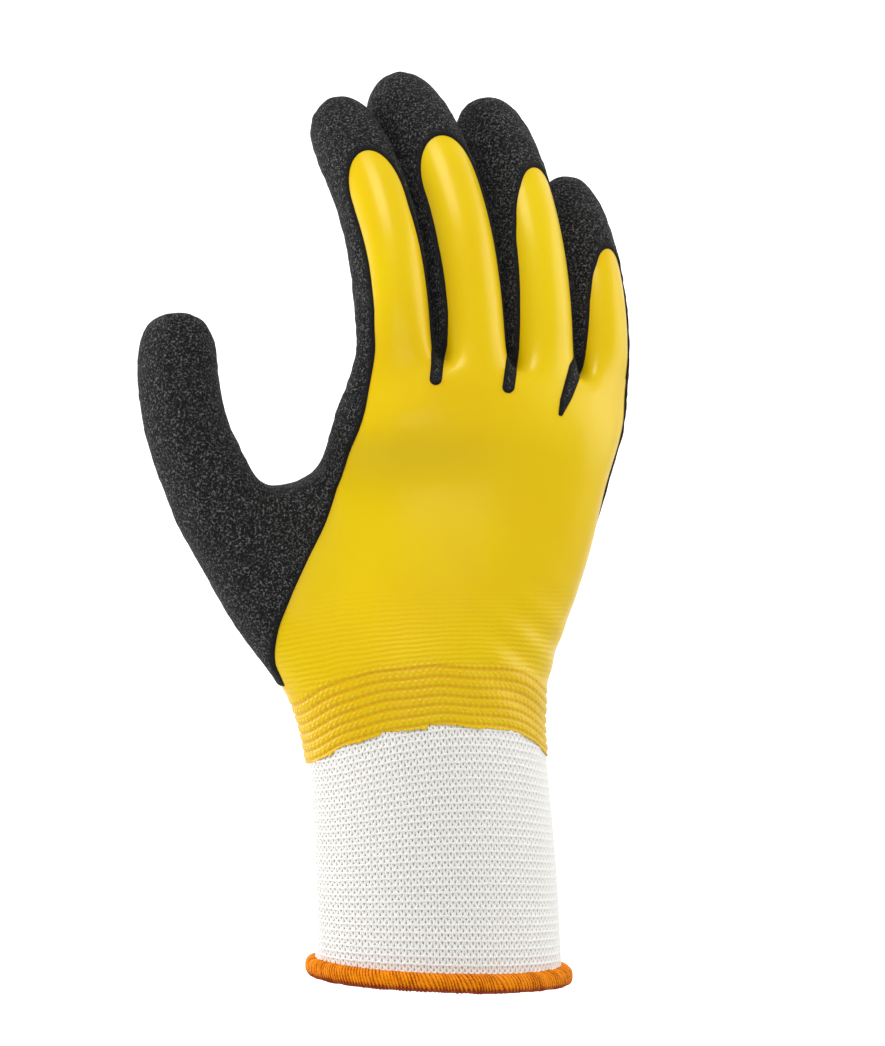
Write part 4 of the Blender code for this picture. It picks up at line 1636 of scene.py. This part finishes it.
    def wall(self) -> tuple[Array, Array]:
        """The backing wall: a closed section, outer face up and knitted inner face down.

        The inner face is lifted by stitches, the sum of a wave along and a wave round.

        Returns:
            Points and faces.
        """
        rows_out, rows_in, count = 26, 110, self.wall_columns
        top = self.tube.rows_by_height(np.array([self.tuck + 6 * MM]))[0]
        outer_rows = np.linspace(self.tube.lowest, top, rows_out)
        inner_rows = np.linspace(top, self.tube.lowest, rows_in)
        around = self.tube.by_arc(np.linspace(0, self.tube.girth, count, endpoint=False))
        outer, outer_normal = self.tube.with_normals(outer_rows, around)
        inner, inner_normal = self.tube.with_normals(inner_rows, around)
        wale = np.cos(2 * math.pi * self.tube.wales * np.arange(count) / count)
        course = np.cos(2 * math.pi * np.linspace(0, self.wall_courses, rows_in))[:, None]
        relief = self.wall_relief * (wale * 0.5 + course * 0.5)
        outer = outer - self.wall_outer * outer_normal
        inner = inner - (self.wall_inner + relief)[..., None] * inner_normal
        points = np.concatenate([outer, inner]).reshape(-1, 3)
        faces = grid_faces(rows_out + rows_in, count, closed=True)
        bottom = np.arange(count)
        top_line = bottom + (rows_out + rows_in - 1) * count
        after = np.roll(bottom, -1)
        rim = np.stack([top_line, np.roll(top_line, -1), after, bottom], axis=1)
        return points, np.concatenate([faces, rim])

    def build(self) -> None:
        """Makes the yarn in two pieces, lower and upper courses, and the wall behind it."""
        heights = self.courses()
        half = len(heights) // 2
        material = YarnFinish().build()
        parts = (("knit_lower", heights[:half], 11), ("knit_upper", heights[half:], 12))
        for name, part, seed in parts:
            points, faces, uv = self.yarn(part, seed)
            dress(mesh_object(name, points, faces, uv), material, ["knit_cuff"])
        points, faces = self.wall()
        made = mesh_object("knit_backing", points, faces)
        backing = LiningFinish(shade=(0.72, 0.68, 0.62, 1.0))
        dress(made, backing.build(), ["knit_cuff"])


@dataclass
class WoundHem:
    """The overlocked hem: a roll round the cuff's edge with a ridge for each turn of thread."""

    form: HandForm
    height: float = 5.2 * MM
    bite: float = 3.2 * MM
    outer_roll: float = 2.6 * MM
    inner_roll: float = 3.7 * MM
    thread_pitch: float = 0.84 * MM
    thread_relief: float = 0.34 * MM
    slant: float = 1.5 * MM  # how far a thread runs along the hem over its height
    squareness: float = 2.6  # power of the section's oval, where 2 is an ellipse
    samples: int = 9
    section: int = 26

    def build(self) -> None:
        """Carries an oval section round the cuff's lower ellipse and lifts each thread's ridge.

        The section's angle runs from the top over the outside, bottom and inside. A thread's
        ridge is |cos| of its phase, which drifts with the angle by the slant and by noise.
        """
        ring, form = CUFF_RINGS[0], self.form
        half_width, half_depth = ring.width * form.cuff_width / 2, ring.depth * form.cuff_depth / 2
        root = math.sqrt((3 * half_width + half_depth) * (half_width + 3 * half_depth))
        girth = math.pi * (3 * (half_width + half_depth) - root)
        threads = round(girth / self.thread_pitch)
        count = threads * self.samples
        turn = 2 * math.pi * np.arange(count) / count
        base = np.stack([half_width * np.cos(turn), half_depth * np.sin(turn)], axis=1)
        outwards = unit(np.stack([half_depth * np.cos(turn), half_width * np.sin(turn)], axis=1))
        angle = math.pi / 2 - 2 * math.pi * np.arange(self.section) / self.section
        x, y = np.cos(angle)[:, None], np.sin(angle)[:, None]
        power = self.squareness
        size = (np.abs(x) ** power + np.abs(y) ** power) ** (-1 / power)
        middle = (self.outer_roll - self.inner_roll) / 2
        half = (self.outer_roll + self.inner_roll) / 2
        place = threads * np.arange(count)[None, :] / count
        bunch = 0.9 * lattice_noise(place / 5, np.zeros_like(place), 3, period=threads // 5)
        phase = place + bunch + self.slant / self.thread_pitch * y / 2
        ridge = np.sqrt(np.abs(np.cos(math.pi * phase)))
        own = lattice_noise(np.floor(phase + 0.5) * 0.73, y * 1.3 + 7, 5)
        lift = self.thread_relief * (ridge - 0.75) * (1 + 0.5 * own) + 0.09 * MM * own
        swell = 0.18 * MM * lattice_noise(place / 17, y * 0.8 + 3, 6, period=threads // 17)
        out = middle + (half + lift + swell) * x * size
        up = self.height / 2 + (self.height / 2 + lift + swell) * y * size
        flat = base[None] + out[..., None] * outwards[None]
        level = ring.height * form.cuff_length - (self.height - self.bite)
        z = up + level - ring.tilt * flat[..., 0]
        points = np.concatenate([flat, z[..., None]], axis=2).reshape(-1, 3)
        faces = grid_faces(self.section, count, closed=True)
        low = np.arange(count) + (self.section - 1) * count
        high = np.arange(count)
        seam = np.stack([low, np.roll(low, -1), np.roll(high, -1), high], axis=1)
        # Painted shade between the turns of thread and darker on the roll's lower side, with each
        # thread's own random tone.
        groove = (1 - ridge) * 1.5 + 0.3 * own + 1.3 * ease((-0.15 - y) / 0.7)
        made = mesh_object(
            "hem_threads",
            points,
            np.concatenate([faces, seam])[:, ::-1],
            values={"groove": groove.ravel()},
        )
        dress(made, ThreadFinish().build(), ["cuff_hem"])


@dataclass
class LatexHand:
    """The yellow latex: ribbed over the wrist's knit, smooth on the hand, ragged at its edge."""

    tube: TubeForm
    dip: DipLine
    edge: CoatEdge
    rib_pitch: float = 2.5 * MM
    rib_relief: float = 0.38 * MM
    rib_top: float = 19.0 * MM  # height over the dip line where the ribs end
    rows_top: float = 46.0 * MM  # height where the fine rows have faded
    rows_fade: float = 24.0 * MM
    fold_depth: float = 0.32 * MM
    fold_pitch: float = 9.5 * MM
    overlap: float = 1.5 * MM  # how far the latex runs on under the grip coat
    row_step: float = 0.27 * MM
    columns: int = 620
    edge_round: float = 0.35 * MM
    seam_row: float = 4.0
    nodes: tuple[str, ...] = (
        "latex_hand",
        "latex_thumb",
        "latex_index",
        "latex_middle",
        "latex_ring",
        "latex_little",
    )

    def relief(self, height: Array, arc: Array) -> tuple[Array, Array]:
        """Ribs over the wrist's knit, and the painted shade and highlight of their colour.

        A rib is a ridge with a groove, a Gauss curve of the share along the pitch. The groove
        deepens at each wale, and two rows of beads stand on the ridge, half a wale apart.

        Args:
            height: Heights over the latex's edge.
            arc: Lengths along the girth.

        Returns:
            The lift out of the form, and a colour value: painted shade in the grooves, a painted
            highlight on the beads, and a deeper tone over the ribbed band.
        """
        drift = 0.16 * lattice_noise(arc / (14 * MM), height / (9 * MM), 21, period=13)
        share = (height / self.rib_pitch + 0.15 + drift) % 1.0
        wale = np.cos(2 * math.pi * self.tube.wales * arc / self.tube.girth)
        groove = np.exp(-(((share - 0.5) / 0.20) ** 2)) * (0.74 + 0.26 * wale)
        own = 0.75 + 0.45 * lattice_noise(arc / (1.3 * MM), height / (1.2 * MM), 22, period=140)
        upper = np.exp(-(((share - 0.82) / 0.11) ** 2)) * np.clip(-wale, 0, 1)
        lower = np.exp(-(((share - 0.16) / 0.11) ** 2)) * np.clip(wale, 0, 1)
        shown = ease((self.rib_top - height) / (3.0 * MM))
        lift = shown * self.rib_relief * (0.95 * (upper + lower) * own - 0.75 * groove)
        # Second value: painted shade deepest in the grooves, less on the beads as a painted
        # highlight, over a deeper tone across the ribbed band.
        return lift, shown * (groove * 0.75 + 0.22 - 0.3 * (upper + lower))

    def folds(self, points: Array) -> Array:
        """Soft slanted swells of the worn hand, slow waves across the back's lower right.

        Args:
            points: Points of the wrist and hand.

        Returns:
            The lift out of the form, a cosine under a round Gauss hill.
        """
        x, y, z = np.moveaxis(points, -1, 0)
        across = (x * 0.60 + (z - 85 * MM) * 0.80) / self.fold_pitch
        centre = np.hypot((x - 22 * MM) / (20 * MM), (z - 86 * MM) / (17 * MM))
        back = ease(-y / (8 * MM))
        return self.fold_depth * np.cos(2 * math.pi * across) * np.exp(-(centre**2)) * back

    def rows_shown(self, height: Array) -> Array:
        """How far the knit's fine rows show at a height: less and less up the hand."""
        return ease((self.rows_top - height) / self.rows_fade)

    def border(self, bare: Array) -> Array:
        """Painted shade on the latex beside the grip coat, falling off as e to the distance."""
        return np.exp(-np.clip(bare, 0, None) / (0.7 * MM)) * 0.35

    def wrist(self) -> Skin:
        """The latex from its lower edge to the seam row, as a fine grid with its relief."""
        bottom = -4.0 * MM
        top = self.tube.height_of_row(self.seam_row)
        heights = np.arange(bottom, top, self.row_step)
        rows = np.append(self.tube.rows_by_height(heights), self.seam_row)
        heights = np.append(heights, top)
        arc = np.linspace(0, self.tube.girth, self.columns, endpoint=False)
        around = self.tube.by_arc(arc)
        points, normals = self.tube.with_normals(rows, around)
        over_edge = heights[:, None] - self.dip.soft_rise(arc)[None, :]
        # groove: the ribs' painted shade and highlight, over a tone
        lift, groove = self.relief(over_edge, arc[None, :])
        fade = ease((self.seam_row - rows) / 0.4)[:, None]
        points = points + (lift + self.folds(points) * fade)[..., None] * normals
        normals = self.slopes(points, normals, rows)
        clear = heights[:, None] - self.dip.edge(arc)[None, :]
        above_ribs = ease((heights - self.rib_top + 2 * MM) / (3 * MM))
        rows_shown = above_ribs * self.rows_shown(heights)
        columns = {
            WristMark.ROW: rows[:, None],
            WristMark.HEIGHT: heights[:, None],
            WristMark.ARC: arc[None, :],
            WristMark.GROOVE: groove,
            WristMark.ROWS_SHOWN: rows_shown[:, None],
            WristMark.CLEAR: clear,
        }
        spread = [np.broadcast_to(column, lift.shape) for column in columns.values()]
        marks = np.stack(spread, axis=-1).reshape(-1, len(columns))
        faces = in_triangles(grid_faces(len(rows), self.columns, closed=True))
        return Skin(points.reshape(-1, 3), normals.reshape(-1, 3), marks, faces)

    def slopes(self, points: Array, normals: Array, rows: Array) -> Array:
        """Normals of a displaced grid from its slopes, eased into the form's own at the seam.

        Args:
            points: The displaced grid.
            normals: The form's normals.
            rows: The grid's rows.

        Returns:
            The normals.
        """
        across = np.roll(points, -1, axis=1) - np.roll(points, 1, axis=1)
        up = np.gradient(points, axis=0)
        own = unit(np.cross(across, up))
        share = ease((self.seam_row - rows) / 0.15)[:, None, None]
        return unit(own * share + normals * (1 - share))

    def trim_wrist(self, skin: Skin, bare: Array) -> Skin:
        """Cuts the wrist's grid at the dip line, rounded off inwards, and under the grip coat.

        Args:
            skin: The grid, with its own values.
            bare: Its points' bareness.

        Returns:
            The trimmed grid.
        """
        clear = WristMark.CLEAR
        skin = skin.marked(bare)
        near = skin.side_of(WristMark.BARE, -self.overlap - MM)
        skin = skin.kept(near & skin.side_of(clear, -MM))
        for at in (0.0, 0.12 * self.edge_round, 0.45 * self.edge_round, self.edge_round):
            skin = skin.split(clear, at)
            skin = skin.kept(skin.side_of(clear, 0.0))
        skin = skin.split(WristMark.BARE, -self.overlap)
        skin = skin.kept(skin.side_of(WristMark.BARE, -self.overlap))
        share = np.clip(skin.marks[:, clear] / self.edge_round, 0, 1)
        drop = 0.5 * MM * (1 - np.sqrt(1 - (1 - share) ** 2))
        skin.points = skin.points - drop[:, None] * skin.normals
        return skin

    def build(self, bare: Array, surface: Skin) -> None:
        """Makes the ribbed wrist and the smooth hand above it.

        Args:
            bare: The bareness of the whole form's points.
            surface: The whole form.
        """
        material = LatexFinish().build()
        self.build_wrist(material)
        self.build_hand(material, bare, surface)

    def build_wrist(self, material: bpy.types.Material) -> None:
        """The ribbed grid, trimmed, whose points carry their groove and how the rows show."""
        wrist = self.wrist()
        no_digits = np.zeros((len(wrist.points), len(Mark) - 1))
        form_marks = np.column_stack([wrist.marks[:, WristMark.ROW], no_digits])
        on_form = Skin(wrist.points, wrist.normals, form_marks, wrist.faces)
        wrist = self.trim_wrist(wrist, self.edge.bareness(on_form))
        marks = wrist.marks
        values = {
            # Painted shade in the ribs' grooves and beside the grip coat, with the beads' painted
            # highlight.
            "groove": marks[:, WristMark.GROOVE] + self.border(marks[:, WristMark.BARE]),
            "rows": marks[:, WristMark.ROWS_SHOWN],
        }
        uv = marks[:, [WristMark.ARC, WristMark.HEIGHT]]
        made = mesh_object("latex_wrist", wrist.points, wrist.faces, uv, values, wrist.normals)
        dress(made, material, self.nodes)

    def build_hand(self, material: bpy.types.Material, bare: Array, surface: Skin) -> None:
        """The form above the seam row, cut a little way under the grip coat."""
        hand = surface.marked(bare)
        column = hand.marks.shape[1] - 1
        hand = hand.kept(hand.side_of(column, -self.overlap - 2 * MM))
        hand = hand.kept(hand.marks[hand.faces, Mark.ROW].min(axis=1) > self.seam_row - 0.01)
        hand = hand.split(column, -self.overlap)
        hand = hand.kept(hand.side_of(column, -self.overlap))
        top = self.tube.height_of_row(self.seam_row)
        height = top + (hand.marks[:, Mark.ROW] - self.seam_row) * 12 * MM
        values = {
            # Painted shade beside the grip coat.
            "groove": self.border(hand.marks[:, column]),
            "rows": self.rows_shown(height),
        }
        uv = np.stack([hand.points[:, 0], height], axis=1)
        made = mesh_object("latex_back", hand.points, hand.faces, uv, values, hand.normals)
        dress(made, material, self.nodes)


@dataclass
class GripCoat:
    """The sandy black coat, a skin over the latex with a rounded edge."""

    thickness: float = 0.50 * MM
    edge_round: float = 0.75 * MM
    tuck: float = 0.10 * MM
    unevenness: float = 0.15 * MM

    def build(self, bare: Array, surface: Skin) -> None:
        """Cuts the form at the coat's edge and lifts it by a quarter round of its distance inside.

        The triangles are cut along four lines near the edge, so that the round is even.

        Args:
            bare: The bareness of the form's points.
            surface: The whole form.
        """
        skin = surface.marked(-bare)
        column = skin.marks.shape[1] - 1
        skin = skin.kept(skin.side_of(column, -2 * MM))
        for share in (0.0, 0.1, 0.35, 1.0):
            skin = skin.split(column, share * self.edge_round)
        skin = skin.kept(skin.side_of(column, 0.0))
        inside = np.clip(skin.marks[:, column] / self.edge_round, 0, 1)
        lift = self.thickness * np.sqrt(1 - (1 - inside) ** 2) - self.tuck * (inside < 1e-6)
        x, y, z = skin.points.T / (2.1 * MM)
        uneven = lattice_noise(x + 0.7 * y, z, 41) + 0.6 * lattice_noise(1.9 * y, 1.7 * z + x, 42)
        lift = lift + self.unevenness * uneven * inside
        points = skin.points + lift[:, None] * skin.normals
        inner = ease((skin.marks[:, column] - 0.3 * MM) / (1.6 * MM))
        made = mesh_object("grip_skin", points, skin.faces, values={"inner": inner})
        dress(made, GripFinish().build(), ["grip_coat"])


@dataclass
class HandLining:
    """The knitted liner inside the hand and the digits."""

    form: HandForm
    wall: float = 1.6 * MM

    def build(self) -> None:
        """The form moved inwards by the wall, with its faces turned to the hollow."""
        skin = self.form.surface(3)
        skin = skin.kept(skin.marks[skin.faces, Mark.ROW].min(axis=1) > 0.2)
        points = skin.points - self.wall * skin.normals
        made = mesh_object("hand_lining", points, skin.faces[:, ::-1])
        dress(made, LiningFinish().build(), LatexHand.nodes)


# The studio


class Lamp(NamedTuple):
    """A square soft light: metres to the picture's right, up and towards the camera, and watts."""

    name: str
    across: float
    height: float
    near: float
    size: float
    power: float


@dataclass
class Studio:
    """White paper sweep, soft lights and the camera at the photograph's angle."""

    azimuth: float = -22.0
    elevation: float = 4.0
    distance: float = 1.1
    sensor: float = 36.0
    frame_height: float = 0.2827
    target_height: float = 0.1255
    target_shift: float = 0.0008
    world_light: float = 0.38
    lamps: tuple[Lamp, ...] = (
        Lamp("key_left", -0.85, 0.35, 0.30, 0.5, 4.5),
        Lamp("rim_left", -0.85, 0.12, -0.22, 0.25, 2.6),
        Lamp("top_front", 0.15, 1.15, 0.55, 0.5, 6.5),
        Lamp("fill_front", 0.70, 0.25, 2.1, 1.2, 6.5),
        Lamp("rim_right", 0.9, 0.35, -0.1, 0.6, 2.8),
    )

    def axes(self) -> tuple[Array, Array]:
        """The picture's right direction, and the direction from the glove to the camera."""
        a, e = math.radians(self.azimuth), math.radians(self.elevation)
        right = np.array([math.cos(a), math.sin(a), 0.0])
        back = np.array([math.sin(a) * math.cos(e), -math.cos(a) * math.cos(e), math.sin(e)])
        return right, back

    def add_camera(self) -> None:
        """The camera, aimed at the glove's middle, its frame as high as the photograph's."""
        right, back = self.axes()
        target = right * self.target_shift + np.array([0, 0, self.target_height])
        data = bpy.data.cameras.new("photo_camera")
        data.sensor_fit = "VERTICAL"
        data.sensor_height = self.sensor
        data.lens = self.sensor * self.distance / self.frame_height
        camera = bpy.data.objects.new("photo_camera", data)
        camera.location = target + back * self.distance
        camera.rotation_euler = (math.radians(90 - self.elevation), 0.0, math.radians(self.azimuth))
        bpy.context.scene.collection.objects.link(camera)
        bpy.context.scene.camera = camera

    def add_lamp(self, lamp: Lamp) -> None:
        """A square soft light aimed at the glove's middle."""
        right, back = self.axes()
        level = np.array([back[0], back[1], 0.0])
        place = right * lamp.across + level * lamp.near + np.array([0, 0, lamp.height])
        data = bpy.data.lights.new(lamp.name, "AREA")
        data.size = lamp.size
        data.energy = lamp.power
        light = bpy.data.objects.new(lamp.name, data)
        light.location = place
        aim = Vector(place - np.array([0, 0, self.target_height]))
        light.rotation_euler = aim.to_track_quat("Z", "Y").to_euler()
        bpy.context.scene.collection.objects.link(light)

    def add_paper(self) -> None:
        """A sweep of paper: a flat floor, a quarter round and a wall, carried across."""
        right, back = self.axes()
        level = unit(np.array([back[0], back[1], 0.0]))
        radius, front, depth, height, width = 0.8, 3.0, 1.6, 3.2, 4.0
        angle = np.linspace(0, math.pi / 2, 17)
        along = np.concatenate([[front], -depth + radius - radius * np.sin(angle), [-depth]])
        up = np.concatenate([[0], radius - radius * np.cos(angle), [height]]) + FLOOR
        across = np.linspace(-width, width, 9)
        points = (
            along[:, None, None] * level
            + across[None, :, None] * right
            + up[:, None, None] * np.array([0, 0, 1.0])
        )
        faces = grid_faces(len(along), len(across), closed=False)[:, ::-1]
        made = mesh_object("paper", points.reshape(-1, 3), faces)
        made.data.materials.append(StageFinish().build())

    def add_world(self) -> None:
        """Pale even light from all round."""
        world = bpy.data.worlds.new("studio")
        world.use_nodes = True
        background = world.node_tree.nodes["Background"]
        background.inputs["Color"].default_value = (1.0, 1.0, 1.0, 1.0)
        background.inputs["Strength"].default_value = self.world_light
        bpy.context.scene.world = world

    def build(self) -> None:
        """Makes the camera, lights and paper."""
        self.add_camera()
        self.add_world()
        self.add_paper()
        for lamp in self.lamps:
            self.add_lamp(lamp)
        bpy.context.scene.view_settings.view_transform = "Standard"


def main() -> None:
    """Builds the glove piece by piece, and the studio round it."""
    logging.basicConfig(level=logging.INFO, format="%(message)s")
    Studio().build()
    form = HandForm()
    tube = TubeForm(form)
    edge = CoatEdge(form)
    surface = form.surface(4)
    bare = edge.bareness(surface)
    dip = DipLine(tube)
    KnittedCuff(tube, dip).build()
    WoundHem(form).build()
    LatexHand(tube, dip, edge).build(bare, surface)
    GripCoat().build(bare, surface)
    HandLining(form).build()


if __name__ == "__main__":
    main()
